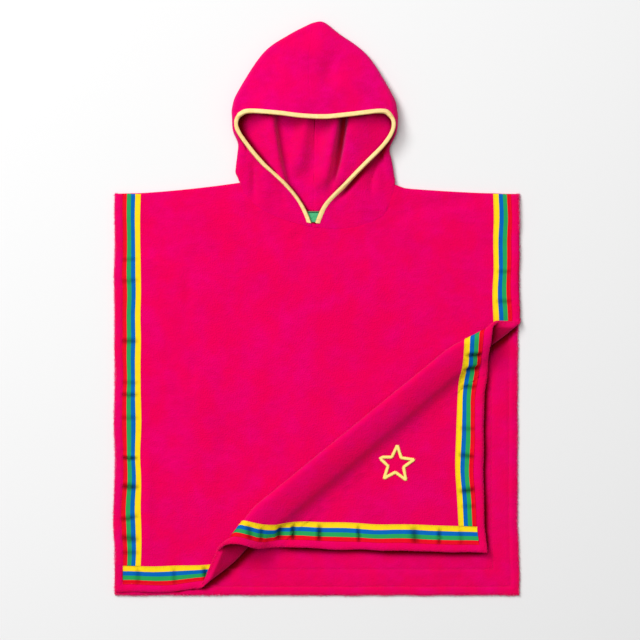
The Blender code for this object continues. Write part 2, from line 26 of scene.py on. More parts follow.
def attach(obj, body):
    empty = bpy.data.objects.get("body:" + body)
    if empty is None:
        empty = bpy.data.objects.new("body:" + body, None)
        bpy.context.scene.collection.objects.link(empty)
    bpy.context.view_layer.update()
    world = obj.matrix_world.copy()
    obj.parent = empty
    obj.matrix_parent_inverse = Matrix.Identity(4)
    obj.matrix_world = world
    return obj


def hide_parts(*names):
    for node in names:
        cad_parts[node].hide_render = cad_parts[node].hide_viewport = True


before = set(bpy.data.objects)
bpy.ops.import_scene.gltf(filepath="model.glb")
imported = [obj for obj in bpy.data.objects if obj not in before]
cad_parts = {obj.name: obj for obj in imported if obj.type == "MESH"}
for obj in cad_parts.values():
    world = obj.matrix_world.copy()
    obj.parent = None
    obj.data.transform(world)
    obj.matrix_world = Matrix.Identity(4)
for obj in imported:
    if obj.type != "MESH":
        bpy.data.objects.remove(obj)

Array = np.ndarray
Faces = list[tuple[int, ...]]
Line = Sequence[Vector]
Pair = tuple[float, float]
Piece = bpy.types.Object
Mesh = bpy.types.Mesh
Socket = bpy.types.NodeSocket

LOG = logging.getLogger("poncho")
MM = 0.001
BODY = "root"

TERRY = 0.0030
SEAM_GAP = 0.0003
FRONT_TOP = 2 * TERRY + SEAM_GAP
HEM_WIDTH = 0.0115
RIBBON_WIDTH = 0.0270
SHARP = math.radians(60.0)


# ---- Small sums ----

def smooth(value: Any) -> Any:
    """Ease from 0 to 1, held at both ends; takes numbers or arrays."""
    value = np.clip(value, 0.0, 1.0)
    return value * value * (3 - 2 * value)


def mix(first: Any, second: Any, share: Any) -> Any:
    """Blend two numbers, vectors or arrays."""
    return first * (1 - share) + second * share


def steps(start: float, end: float, count: int) -> list[float]:
    """Evenly spaced numbers from start to end, both included."""
    return [start + (end - start) * i / (count - 1) for i in range(count)]


def spaced(points: Line, step: float) -> list[Vector]:
    """Add points to a line so that none are further apart than a step.

    Args:
        points: the line's points.
        step: greatest distance between neighbours.

    Returns:
        The line's points with the added ones.
    """
    found = [points[0]]
    for a, b in zip(points, points[1:]):
        count = max(1, math.ceil((b - a).length / step))
        found += [a.lerp(b, i / count) for i in range(1, count + 1)]
    return found


def wander(places: Array, size: float, seed: float) -> Array:
    """Smooth noise of about -1 to 1 at points of a plane, changing over a distance of size."""
    return np.array([noise.noise(Vector((x / size, y / size, seed))) for x, y in places])


# ---- Tables of creases ----

CREASE_LEAD = 0.15
CREASE_FADE = 0.4
HEM_FULLNESS = 0.6
SOFT_SEAM = 0.08
CRISP_SEAM = 0.34
CRISP_FROM = -0.02
CRISP_OVER = 0.06


class Crease(NamedTuple):
    """A soft trough (negative height) or ridge across a panel, in millimetres."""

    start_x: float
    start_y: float
    end_x: float
    end_y: float
    height: float
    width: float


def crease_height(creases: Iterable[Crease], places: Array) -> Array:
    """Height of all creases at points of a panel.

    Args:
        creases: the creases.
        places: array of points, two numbers each, in metres.

    Returns:
        Height at each point, in metres.
    """
    height = np.zeros(len(places))
    for crease in creases:
        start = np.array((crease.start_x, crease.start_y)) * MM
        run = np.array((crease.end_x, crease.end_y)) * MM - start
        length = np.linalg.norm(run)
        along = (places - start) @ run / length ** 2
        across = (places - start) @ np.array((-run[1], run[0])) / length
        fade = smooth((along + CREASE_LEAD) / CREASE_FADE)
        fade *= smooth((1 + CREASE_LEAD - along) / CREASE_FADE)
        height += crease.height * MM * fade * np.exp(-(across / (crease.width * MM)) ** 2)
    return height


def rounded(distance: Array, radius: float) -> Array:
    """How far a rounded edge drops at a distance inside it."""
    gone = radius - np.clip(distance, 0.0, radius)
    return radius - np.sqrt(np.maximum(radius ** 2 - gone ** 2, 0.0))


def hem_swell(edge: Array, width: float) -> Array:
    """Rise of a folded hem: 0 at both its edges and 1 in its middle."""
    return np.sin(np.pi * np.clip(edge / width, 0, 1)) ** HEM_FULLNESS


def seam_depth(x: Array) -> Array:
    """Depth of the neck seam's groove: soft on the left, crisp on the right."""
    return mix(SOFT_SEAM, CRISP_SEAM, smooth((x - CRISP_FROM) / CRISP_OVER))


# ---- Node trees ----

class Graph:
    """Adds nodes to one node tree, for shaders and for geometry alike."""

    def __init__(self, tree: bpy.types.NodeTree) -> None:
        """Work on a node tree."""
        self.tree = tree

    def node(self, kind: str, settings: Optional[dict[str, Any]] = None,
             values: Optional[dict[Any, Any]] = None) -> bpy.types.Node:
        """Add a node.

        Args:
            kind: the node's type.
            settings: its own settings, set first; "stops" are a ramp's colours by place.
            values: values, or sockets and signals to link, by input name or number.

        Returns:
            The new node.
        """
        made = self.tree.nodes.new(kind)
        for name, setting in (settings or {}).items():
            if name == "stops":
                self._set_stops(made.color_ramp, setting)
            else:
                setattr(made, name, setting)
        for key, value in (values or {}).items():
            self.feed(made.inputs[key], value)
        return made

    def feed(self, socket: Socket, value: Any) -> None:
        """Give a socket a value, or link another socket or a signal to it.

        Args:
            socket: the input socket.
            value: a plain value, a socket or a signal.
        """
        if isinstance(value, Signal):
            value = value.socket
        if isinstance(value, Socket):
            self.tree.links.new(value, socket)
        else:
            socket.default_value = value

    @staticmethod
    def _set_stops(ramp: bpy.types.ColorRamp, stops: Sequence[tuple[float, Any]]) -> None:
        """Set a colour ramp's stops.

        Args:
            ramp: the ramp.
            stops: pairs of a place from 0 to 1 and a colour.
        """
        while len(ramp.elements) < len(stops):
            ramp.elements.new(1.0)
        for element, (place, colour) in zip(ramp.elements, stops):
            element.position = place
            element.color = (*colour, 1.0)


class Signal:
    """A number that varies over a surface, with Python's arithmetic."""

    def __init__(self, graph: Graph, socket: Socket) -> None:
        """Wrap a socket."""
        self.graph = graph
        self.socket = socket

    def _maths(self, operation: str, *values: Any) -> "Signal":
        """Add a Math node."""
        node = self.graph.node("ShaderNodeMath", {"operation": operation}, dict(enumerate(values)))
        return Signal(self.graph, node.outputs[0])

    def __add__(self, other: Any) -> "Signal":
        """Sum."""
        return self._maths("ADD", self, other)

    def __sub__(self, other: Any) -> "Signal":
        """Difference."""
        return self._maths("SUBTRACT", self, other)

    def __rsub__(self, other: Any) -> "Signal":
        """Difference from a number."""
        return self._maths("SUBTRACT", other, self)

    def __mul__(self, other: Any) -> "Signal":
        """Product."""
        return self._maths("MULTIPLY", self, other)

    __radd__ = __add__
    __rmul__ = __mul__

    def sine(self) -> "Signal":
        """Sine of the number, in radians."""
        return self._maths("SINE", self)

    def ease(self, low: float, high: float) -> "Signal":
        """Ease the number from 0 to 1.

        Args:
            low: where it still is 0.
            high: where it reaches 1.

        Returns:
            The eased number.
        """
        node = self.graph.node("ShaderNodeMapRange", {"interpolation_type": "SMOOTHSTEP"},
                               {0: self, 1: low, 2: high, 3: 0.0, 4: 1.0})
        return Signal(self.graph, node.outputs[0])


class ShaderGraph(Graph):
    """A material's node tree with its Principled shader."""

    sheen_roughness = 0.5
    cell_smoothness = 0.35

    def __init__(self, name: str, roughness: float, specular: float = 0.0) -> None:
        """Make a material.

        Args:
            name: its name.
            roughness: how matt it is.
            specular: strength of its gloss.
        """
        self.material = bpy.data.materials.new(name)
        self.material.use_nodes = True
        super().__init__(self.material.node_tree)
        self.shader = self.tree.nodes["Principled BSDF"]
        self.shader.inputs["Roughness"].default_value = roughness
        self.shader.inputs["Specular IOR Level"].default_value = specular

    def coordinates(self, scale: Sequence[float] = (1.0, 1.0, 1.0)) -> Socket:
        """Object coordinates, scaled."""
        place = self.node("ShaderNodeTexCoord").outputs["Object"]
        return self.node("ShaderNodeMapping", None, {"Vector": place, "Scale": scale}).outputs[0]

    def uv(self) -> tuple["Signal", "Signal"]:
        """The piece's own map: metres along it, and 0 to 1 across it."""
        parts = self.node("ShaderNodeSeparateXYZ", None, {0: self.node("ShaderNodeUVMap").outputs[0]})
        return Signal(self, parts.outputs[0]), Signal(self, parts.outputs[1])

    def mark(self, name: str) -> Signal:
        """One of the piece's own attributes, 0 where it has none."""
        return Signal(self, self.node("ShaderNodeAttribute", {"attribute_name": name}).outputs["Fac"])

    def add_sheen(self, weight: float, tint: "Colour") -> None:
        """Give the surface the soft light of standing fibres.

        Args:
            weight: its strength.
            tint: its colour.
        """
        self.shader.inputs["Sheen Weight"].default_value = weight
        self.shader.inputs["Sheen Roughness"].default_value = self.sheen_roughness
        self.shader.inputs["Sheen Tint"].default_value = (*tint, 1.0)

    def cloud(self, size: float, detail: float = 2.0,
              scale: Sequence[float] = (1.0, 1.0, 1.0)) -> Signal:
        """Soft noise from 0 to 1.

        Args:
            size: distance in metres over which it changes.
            detail: octaves of finer noise.
            scale: stretch of the coordinates.

        Returns:
            The noise.
        """
        node = self.node("ShaderNodeTexNoise", None,
                         {"Vector": self.coordinates(scale), "Scale": 1.0 / size, "Detail": detail})
        return Signal(self, node.outputs[0])

    def cells(self, size: float, scale: Sequence[float] = (1.0, 1.0, 1.0)) -> Signal:
        """Distance from the middle of round cells.

        Args:
            size: the cells' size in metres.
            scale: stretch of the coordinates.

        Returns:
            The distance, in cells.
        """
        node = self.node("ShaderNodeTexVoronoi", {"feature": "SMOOTH_F1"},
                         {"Vector": self.coordinates(scale), "Scale": 1.0 / size,
                          "Smoothness": self.cell_smoothness})
        return Signal(self, node.outputs[0])

    def blend(self, first: Any, second: Any, share: Any) -> Socket:
        """Blend two colours, each a socket or red, green and blue.

        Args:
            first: the colour at a share of 0.
            second: the colour at a share of 1.
            share: number or signal from 0 to 1.

        Returns:
            The blended colour.
        """
        colours = [c if isinstance(c, Socket) else (*c, 1.0) for c in (first, second)]
        return self.node("ShaderNodeMix", {"data_type": "RGBA"},
                         {0: share, 6: colours[0], 7: colours[1]}).outputs[2]

    def finish(self, colour: Any, height: Any, depth: float) -> bpy.types.Material:
        """Link the colour and the bump.

        Args:
            colour: the colour's socket.
            height: the bump's height, from 0 to 1.
            depth: its depth in metres.

        Returns:
            The material.
        """
        self.feed(self.shader.inputs["Base Color"], colour)
        bump = self.node("ShaderNodeBump", None, {"Height": height, "Distance": depth, "Strength": 1.0})
        self.feed(self.shader.inputs["Normal"], bump.outputs[0])
        return self.material


# ---- Finishes ----

Colour = tuple[float, float, float]
BLACK = (0.0, 0.0, 0.0)


@dataclass(frozen=True)
class TerryFinish:
    """Looped cotton towelling.

    The loops are cells of light and dark, clouds vary the colour from rose to crimson, and shade is
    painted into the colour where the cloth's own attributes mark it as closed in by cloth or creased.
    """

    name: str
    colour: Colour
    deep: Colour
    crimson: Colour
    # Colour of the shade painted into folds and creases.
    dark: Colour
    sheen: Colour
    sheen_weight: float = 0.35
    loop: float = 0.0019
    patch: float = 0.011
    field: float = 0.060
    blush: float = 0.032
    blush_share: float = 0.75
    closed_shade: Pair = (0.22, 0.48)
    closed_shade_share: float = 0.97
    crease_shade_share: float = 0.50
    depth: float = 0.0006

    def build(self) -> bpy.types.Material:
        """Make the material.

        Returns:
            The terry material.
        """
        graph = ShaderGraph(self.name, 0.95)
        graph.add_sheen(self.sheen_weight, self.sheen)
        loops = graph.cells(self.loop, (1.0, 0.85, 1.0)).ease(0.05, 0.75)
        tangle = graph.cloud(self.loop * 0.8, 3.0)
        patches = graph.cloud(self.patch, 3.0, (0.7, 1.2, 1.0)).ease(0.30, 0.72)
        wide = graph.cloud(self.field, 3.0).ease(0.30, 0.70)
        shade = loops * 0.26 + tangle.ease(0.35, 0.70) * 0.16 + patches * 0.30 + wide * 0.28
        colour = graph.blend(self.colour, self.deep, shade)
        blush = graph.cloud(self.blush, 4.0, (1.0, 0.8, 1.0)).ease(0.3, 0.7)
        tinted = graph.blend(colour, self.crimson, blush * self.blush_share)
        # Painted shade: the colour darkens towards the dark colour where the attributes mark the cloth
        # as closed in by cloth or creased.
        closed_shade = graph.blend(tinted, self.dark, graph.mark("hollow_shade").ease(*self.closed_shade) * self.closed_shade_share)
        wear_and_shade = graph.blend(closed_shade, self.dark, graph.mark("crease") * self.crease_shade_share)
        height = (1 - loops) * 0.60 + tangle * 0.45 + (1 - patches) * 0.45
        return graph.finish(wear_and_shade, height, self.depth)


@dataclass(frozen=True)
class StripedFinish:
    """Woven ribbon with stripes along it, the first at its outer edge."""

    name: str
    stripes: tuple[tuple[float, Colour], ...]
    rib: float = 0.0010
    raggedness: float = 0.018
    shade: float = 0.45
    crease_shade_share: float = 0.85
    depth: float = 0.00022

    def build(self) -> bpy.types.Material:
        """Make the material.

        Returns:
            The striped ribbon material.
        """
        graph = ShaderGraph(self.name, 0.62, 0.04)
        along, across = graph.uv()
        ragged = across + (graph.cloud(0.0016, 1.0) - 0.5) * self.raggedness
        ramp = graph.node("ShaderNodeValToRGB", {"stops": self.stripes}, {0: ragged})
        ramp.color_ramp.interpolation = "CONSTANT"
        ribs = (along * (2 * math.pi / self.rib)).sine() * 0.5 + 0.5
        weave = graph.cloud(0.0009, 2.0)
        wear_and_shade = graph.cloud(0.016, 2.0).ease(0.35, 0.75)
        shade = ribs * 0.16 + weave.ease(0.35, 0.70) * 0.16 + wear_and_shade * 0.10
        colour = graph.blend(ramp.outputs[0], BLACK, shade * self.shade)
        # Painted shade: the stripes darken towards black in the puckers' dents, by the crease attribute.
        creased = graph.blend(colour, BLACK, graph.mark("crease") * self.crease_shade_share)
        return graph.finish(creased, ribs * 0.5 + weave * 0.8, self.depth)


@dataclass(frozen=True)
class WovenFinish:
    """Plain woven cotton: bias tape or a label."""

    name: str
    colour: Colour
    deep: Colour
    thread: float = 0.0008
    depth: float = 0.00025

    def build(self) -> bpy.types.Material:
        """Make the material.

        Returns:
            The woven material.
        """
        graph = ShaderGraph(self.name, 0.75, 0.10)
        along = graph.uv()[0]
        weft = (along * (2 * math.pi / self.thread)).sine() * 0.5 + 0.5
        fibre = graph.cloud(self.thread, 3.0)
        creased = graph.cloud(0.007, 3.0).ease(0.35, 0.72)
        shade = weft * 0.14 + fibre.ease(0.35, 0.70) * 0.30 + creased * 0.42
        colour = graph.blend(self.colour, self.deep, shade)
        return graph.finish(colour, weft * 0.4 + fibre * 0.8 + (1 - creased) * 1.6, self.depth)


@dataclass(frozen=True)
class ThreadFinish:
    """Sewing or embroidery thread with a slight gloss."""

    name: str
    colour: Colour
    roughness: float = 0.45
    shade: float = 0.72
    fibre: float = 0.0005
    depth: float = 0.00015

    def build(self) -> bpy.types.Material:
        """Make the material.

        Returns:
            The thread material.
        """
        graph = ShaderGraph(self.name, self.roughness, 0.25)
        fibre = graph.cloud(self.fibre, 2.0)
        colour = graph.blend(self.colour, tuple(c * self.shade for c in self.colour),
                             fibre.ease(0.3, 0.7))
        return graph.finish(colour, fibre, self.depth)


YELLOW = (1.000, 0.700, 0.010)
BLUE = (0.0006, 0.132, 0.500)
GREEN = (0.020, 0.370, 0.100)
RED = (0.830, 0.0022, 0.015)


class Finish(Enum):
    """The cloths and threads of the garment."""

    # The fourth colour of each terry is its painted shade.
    PINK_TERRY = TerryFinish("pink_terry", (0.800, 0.0003, 0.150), (0.670, 0.0002, 0.085),
                             (0.780, 0.0002, 0.070), (0.200, 0.0001, 0.003), (1.000, 0.150, 0.500))
    # The hood's terry: a pinker copy of the body's. The extra pink is painted light, for the light that
    # the hood catches, and the deeper mottle is the cloth's texture.
    LIT_HOOD_TERRY = TerryFinish("lit_hood_terry", (0.800, 0.0003, 0.188), (0.590, 0.0002, 0.085),
                             (0.770, 0.0002, 0.088), (0.200, 0.0001, 0.003), (1.000, 0.150, 0.500))
    # Paler, pinker copy of the terry's yarn for the edge fuzz: painted light, so the fringe stays bright
    # over the shade at the cloth's edges.
    LIT_PINK_FUZZ = ThreadFinish("lit_pink_fuzz", (1.000, 0.180, 0.420), 0.90, 0.90)
    # Colour of the dark line along the label's top.
    DARK_LINE = ThreadFinish("dark_line", (0.010, 0.022, 0.018))
    STRIPED_RIBBON = StripedFinish("striped_ribbon", ((0.0, RED), (0.228, GREEN), (0.468, BLUE),
                                                      (0.700, YELLOW)))
    PALE_TAPE = WovenFinish("pale_yellow_tape", (0.980, 0.760, 0.350), (0.920, 0.600, 0.190))
    GREEN_LABEL = WovenFinish("green_label", (0.085, 0.480, 0.220), (0.050, 0.360, 0.150))
    PINK_THREAD = ThreadFinish("pink_thread", (0.700, 0.0010, 0.090))
    RED_THREAD = ThreadFinish("red_thread", (0.720, 0.0080, 0.030))
    YELLOW_THREAD = ThreadFinish("yellow_thread", (0.960, 0.660, 0.030))
    GOLD_SILK = ThreadFinish("gold_silk", (1.000, 0.800, 0.210), 0.40, 0.90)

    def material(self) -> bpy.types.Material:
        """This finish's material, made the first time that it is asked for."""
        found = bpy.data.materials.get(self.value.name)
        return found or self.value.build()


# ---- Meshes ----

class Wall(NamedTuple):
    """Two skins of cloth, point for point alike, with their faces and their map."""

    outer: Array
    inner: Array
    faces: Faces
    uv: Optional[Array] = None
    # crease: share of shade painted into the colour at each point.
    crease: Optional[Array] = None


def wall_mesh(name: str, wall: Wall) -> Mesh:
    """Close two skins of cloth into one wall round their free edges.

    Args:
        name: the mesh's name.
        wall: the skins; faces run anticlockwise as seen from the outer one.

    Returns:
        The closed mesh.
    """
    count = len(wall.outer)
    faces = [tuple(face) for face in wall.faces]
    sides = {(a, b) for face in faces for a, b in zip(face, face[1:] + face[:1])}
    closed = faces + [tuple(i + count for i in reversed(face)) for face in faces]
    closed += [(b, a, a + count, b + count) for a, b in sorted(sides) if (b, a) not in sides]
    used = sorted({i for face in closed for i in face})
    place = {old: new for new, old in enumerate(used)}
    points = np.vstack((wall.outer, wall.inner))[used]
    mesh = bpy.data.meshes.new(name)
    mesh.from_pydata(points.tolist(), [], [[place[i] for i in face] for face in closed])
    if wall.uv is not None:
        spots = np.vstack((wall.uv, wall.uv))[used]
        corners = np.zeros(len(mesh.loops), dtype=np.int32)
        mesh.loops.foreach_get("vertex_index", corners)
        mesh.uv_layers.new(name="UVMap").data.foreach_set("uv", spots[corners].ravel())
    # The crease attribute is painted shade for the materials.
    if wall.crease is not None:
        mesh.attributes.new("crease", "FLOAT", "POINT").data.foreach_set("value", wall.crease[used])
    mesh.shade_smooth()
    mesh.set_sharp_from_angle(angle=SHARP)
    return mesh


def cut_places(mesh: Mesh) -> Array:
    """Where each point of a panel lies on its flat cut.

    Args:
        mesh: the panel, whose map is its cut.

    Returns:
        Two numbers for each point.
    """
    spots = np.zeros((len(mesh.vertices), 2))
    corners = np.zeros(len(mesh.loops), dtype=np.int32)
    mesh.loops.foreach_get("vertex_index", corners)
    uv = np.zeros(len(mesh.loops) * 2)
    mesh.uv_layers[0].data.foreach_get("uv", uv)
    spots[corners] = uv.reshape(-1, 2)
    return spots


def grid_faces(rows: int, columns: int) -> Faces:
    """Faces of a grid of points that are numbered row by row."""
    return [(a, a + 1, a + 1 + columns, a + columns)
            for j in range(rows - 1) for a in range(j * columns, (j + 1) * columns - 1)]


def add_piece(name: str, mesh: Mesh, finish: Finish, slot: str,
              *nodes: str) -> Piece:
    """Add a finished piece that rides on the garment.

    Args:
        name: the piece's name.
        mesh: its mesh, in place.
        finish: its cloth or thread.
        slot: the record's material slot; not used.
        nodes: the solids that it stands for.

    Returns:
        The piece.
    """
    piece = bpy.data.objects.new(name, mesh)
    bpy.context.scene.collection.objects.link(piece)
    if not mesh.materials:
        mesh.materials.append(finish.material())
    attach(piece, BODY)
    if nodes:
        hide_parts(*nodes)
    LOG.info("%s: %d faces", name, len(mesh.polygons))
    return piece


class CutMesh:
    """Divides a flat cut into triangles that follow the lines drawn on it."""

    keep_inside = 1
    merge = 1e-6

    def __init__(self, outline: Line) -> None:
        """Start a cut.

        Args:
            outline: its closed outline, anticlockwise.
        """
        self.points: list[Vector] = []
        self.joined: list[tuple[int, int]] = []
        self.loops: list[list[int]] = []
        self.add_cut(outline)

    def add_cut(self, outline: Line) -> None:
        """Add a closed outline; triangles know which of these they are in."""
        self.loops.append(list(range(len(self.points), len(self.points) + len(outline))))
        self.points += outline

    def add_line(self, line: Line) -> None:
        """Add a line that triangles don't cross.

        Args:
            line: its points.
        """
        first = len(self.points)
        self.points += line
        self.joined += [(first + i, first + i + 1) for i in range(len(line) - 1)]

    def add_points(self, points: Line) -> None:
        """Add loose points."""
        self.points += points

    def divide(self) -> tuple[Array, Faces, list[set[int]]]:
        """Cut into triangles.

        Returns:
            The points, the triangles inside the outline, and the outlines that each is in.
        """
        found, _, triangles, _, _, owners = delaunay_2d_cdt(
            self.points, self.joined, self.loops, self.keep_inside, self.merge)
        kept = [(tuple(tri), set(owner)) for tri, owner in zip(triangles, owners) if 0 in owner]
        return np.array([p[:] for p in found]), [tri for tri, _ in kept], [owner for _, owner in kept]


def nearest(places: Array, line: Line) -> Array:
    """Distance from each point to a line.

    Args:
        places: array of points, two numbers each.
        line: the line's closely spaced points.

    Returns:
        A distance for each point.
    """
    tree = KDTree(len(line))
    for i, point in enumerate(line):
        tree.insert((point[0], point[1], 0.0), i)
    tree.balance()
    return np.array([tree.find((x, y, 0.0))[2] for x, y in places])


@dataclass(frozen=True)
class HollowShade:
    """Paints shade into the colour of each point of a cloth, by how far cloth closes it in.

    The rays lean towards the room's bright side, as a fold that faces it still catches its light.
    """

    reach: float = 0.036
    clearance: float = 0.0012
    rays: int = 16
    rounds: int = 2
    bright_side: Vector = field(default_factory=lambda: Vector((-0.80, 0.85, 1.15)))

    def _spread(self) -> list[Vector]:
        """Spread rays over the upper half of a sphere, closer together round its top.

        Returns:
            The rays, of length 1.
        """
        found = []
        for i in range(self.rays):
            rise = math.sqrt(1 - (i + 0.5) / self.rays)
            turn = i * math.pi * (3 - math.sqrt(5))
            level = math.sqrt(1 - rise ** 2)
            found.append(Vector((level * math.cos(turn), level * math.sin(turn), rise)))
        return found

    def mark(self, cloths: Sequence[Piece]) -> None:
        """Write each cloth's share of painted shade, from 0 in the open to 1 in a closed fold.

        Args:
            cloths: the pieces of cloth, which also close each other in.
        """
        places: list[Vector] = []
        faces: list[list[int]] = []
        for cloth in cloths:
            first = len(places)
            places += [vertex.co.copy() for vertex in cloth.data.vertices]
            faces += [[first + i for i in face.vertices] for face in cloth.data.polygons]
        tree = BVHTree.FromPolygons(places, faces)
        spread = self._spread()
        for cloth in cloths:
            closed = np.array([self._closed(tree, vertex, spread) for vertex in cloth.data.vertices])
            depths = self._evened(cloth.data, closed)
            cloth.data.attributes.new("hollow_shade", "FLOAT", "POINT").data.foreach_set("value", depths)

    def _closed(self, tree: BVHTree, vertex: bpy.types.MeshVertex, spread: Line) -> float:
        """Share of a point's rays that meet cloth, the near ones counting most.

        Args:
            tree: all the cloths' faces.
            vertex: the point.
            spread: the rays round an upright axis.

        Returns:
            A number from 0 to 1.
        """
        turn = (vertex.normal + self.bright_side).to_track_quat("Z", "Y")
        start = vertex.co + vertex.normal * self.clearance
        met = 0.0
        for ray in spread:
            distance = tree.ray_cast(start, turn @ ray, self.reach)[3]
            if distance is not None:
                met += 1 - (distance / self.reach) ** 2
        return met / len(spread)

    def _evened(self, mesh: Mesh, values: Array) -> Array:
        """Blend each point's value with its neighbours', so that no seam stays as a thin dark line.

        Args:
            mesh: the cloth.
            values: one number for each of its points.

        Returns:
            The evened numbers.
        """
        ends = np.zeros(len(mesh.edges) * 2, dtype=np.int32)
        mesh.edges.foreach_get("vertices", ends)
        a, b = ends.reshape(-1, 2).T
        count = np.bincount(ends, minlength=len(values))
        for _ in range(self.rounds):
            total = np.bincount(a, values[b], len(values)) + np.bincount(b, values[a], len(values))
            values = np.minimum(values, total / np.maximum(count, 1))
        for _ in range(self.rounds):
            total = np.bincount(a, values[b], len(values)) + np.bincount(b, values[a], len(values))
            values = (values + total) / (1 + count)
        return values


# ---- Repeats made with Geometry Nodes ----

class NodeRecipe:
    """A Geometry Nodes tree with named inputs that turns a line or a surface into repeats."""

    def __init__(self, name: str, inputs: dict[str, tuple[str, Any]]) -> None:
        """Make the tree with its inputs.

        Args:
            name: the tree's name.
            inputs: a socket type and a default for each input's name.
        """
        tree = bpy.data.node_groups.new(name, "GeometryNodeTree")
        self.graph = Graph(tree)
        tree.interface.new_socket("Geometry", in_out="INPUT", socket_type="NodeSocketGeometry")
        tree.interface.new_socket("Geometry", in_out="OUTPUT", socket_type="NodeSocketGeometry")
        self.keys: dict[str, str] = {}
        for label, (kind, default) in inputs.items():
            socket = tree.interface.new_socket(label, in_out="INPUT", socket_type=kind)
            if default is not None:
                socket.default_value = default
            self.keys[label] = socket.identifier
        self.given = self.graph.node("NodeGroupInput")

    def _close(self, points: Socket, shape: bpy.types.Node, turned: bpy.types.Node,
               size: bpy.types.Node, least: float, most: float) -> None:
        """End the tree: set a shape at every point, make all real and give them their material.

        Args:
            points: the points.
            shape: the shape.
            turned: its turn at each point.
            size: its size along three axes.
            least: least share of that size.
            most: greatest share of it.
        """
        add = self.graph.node
        vary = add("FunctionNodeRandomValue", {"data_type": "FLOAT"},
                   {"Min": least, "Max": most, "Seed": self.given.outputs["Seed"]})
        scale = add("ShaderNodeVectorMath", {"operation": "SCALE"},
                    {0: size.outputs[0], "Scale": vary.outputs[1]})
        placed = add("GeometryNodeInstanceOnPoints", None,
                     {"Points": points, "Instance": shape.outputs[0], "Rotation": turned.outputs[0],
                      "Scale": scale.outputs[0]})
        real = add("GeometryNodeRealizeInstances", None, {0: placed.outputs[0]})
        dressed = add("GeometryNodeSetMaterial", None,
                      {"Geometry": real.outputs[0], "Material": self.given.outputs["Material"]})
        add("NodeGroupOutput", None, {0: dressed.outputs[0]})

    def apply(self, source: bpy.types.ID, values: dict[str, Any]) -> Mesh:
        """Run the tree on a mesh or curve.

        Args:
            source: the mesh or curve data that the repeats follow.
            values: the inputs' values, by name.

        Returns:
            A plain mesh of all the repeats.
        """
        carrier = bpy.data.objects.new(source.name, source)
        bpy.context.scene.collection.objects.link(carrier)
        modifier = carrier.modifiers.new("repeats", "NODES")
        modifier.node_group = self.graph.tree
        for label, value in values.items():
            modifier[self.keys[label]] = value
        graph = bpy.context.evaluated_depsgraph_get()
        mesh = bpy.data.meshes.new_from_object(carrier.evaluated_get(graph), depsgraph=graph)
        bpy.data.objects.remove(carrier, do_unlink=True)
        mesh.shade_smooth()
        return mesh


class StitchRecipe(NodeRecipe):
    """Plump stitches laid end to end, or side by side, along lines."""

    swing = 0.35

    def __init__(self) -> None:
        """Build the tree."""
        super().__init__("stitches", {
            "Pitch": ("NodeSocketFloat", 0.003), "Length": ("NodeSocketFloat", 0.0024),
            "Thread": ("NodeSocketFloat", 0.0005), "Turn": ("NodeSocketFloat", 0.0),
            "Uneven": ("NodeSocketFloat", 0.1), "Seed": ("NodeSocketInt", 1),
            "Material": ("NodeSocketMaterial", None)})
        add = self.graph.node
        given = self.given.outputs
        line = add("GeometryNodeResampleCurve", {"mode": "LENGTH"},
                   {"Curve": given["Geometry"], "Length": given["Pitch"]})
        tangent = add("GeometryNodeInputTangent")
        along = add("FunctionNodeAlignRotationToVector", {"axis": "X"}, {"Vector": tangent.outputs[0]})
        swing = add("FunctionNodeRandomValue", {"data_type": "FLOAT"},
                    {"Min": -self.swing, "Max": self.swing, "Seed": given["Seed"]})
        wobble = add("ShaderNodeMath", {"operation": "MULTIPLY_ADD"},
                     {0: swing.outputs[1], 1: given["Uneven"], 2: given["Turn"]})
        spin = add("ShaderNodeCombineXYZ", None, {2: wobble.outputs[0]})
        turned = add("FunctionNodeRotateRotation", {"rotation_space": "LOCAL"},
                     {0: along.outputs[0], 1: spin.outputs[0]})
        half = [add("ShaderNodeMath", {"operation": "MULTIPLY"}, {0: given[key], 1: 0.5})
                for key in ("Length", "Thread")]
        size = add("ShaderNodeCombineXYZ", None,
                   {0: half[0].outputs[0], 1: half[1].outputs[0], 2: half[1].outputs[0]})
        stitch = add("GeometryNodeMeshUVSphere", None, {"Segments": 6, "Rings": 5, "Radius": 1.0})
        self._close(line.outputs[0], stitch, turned, size, 0.88, 1.10)


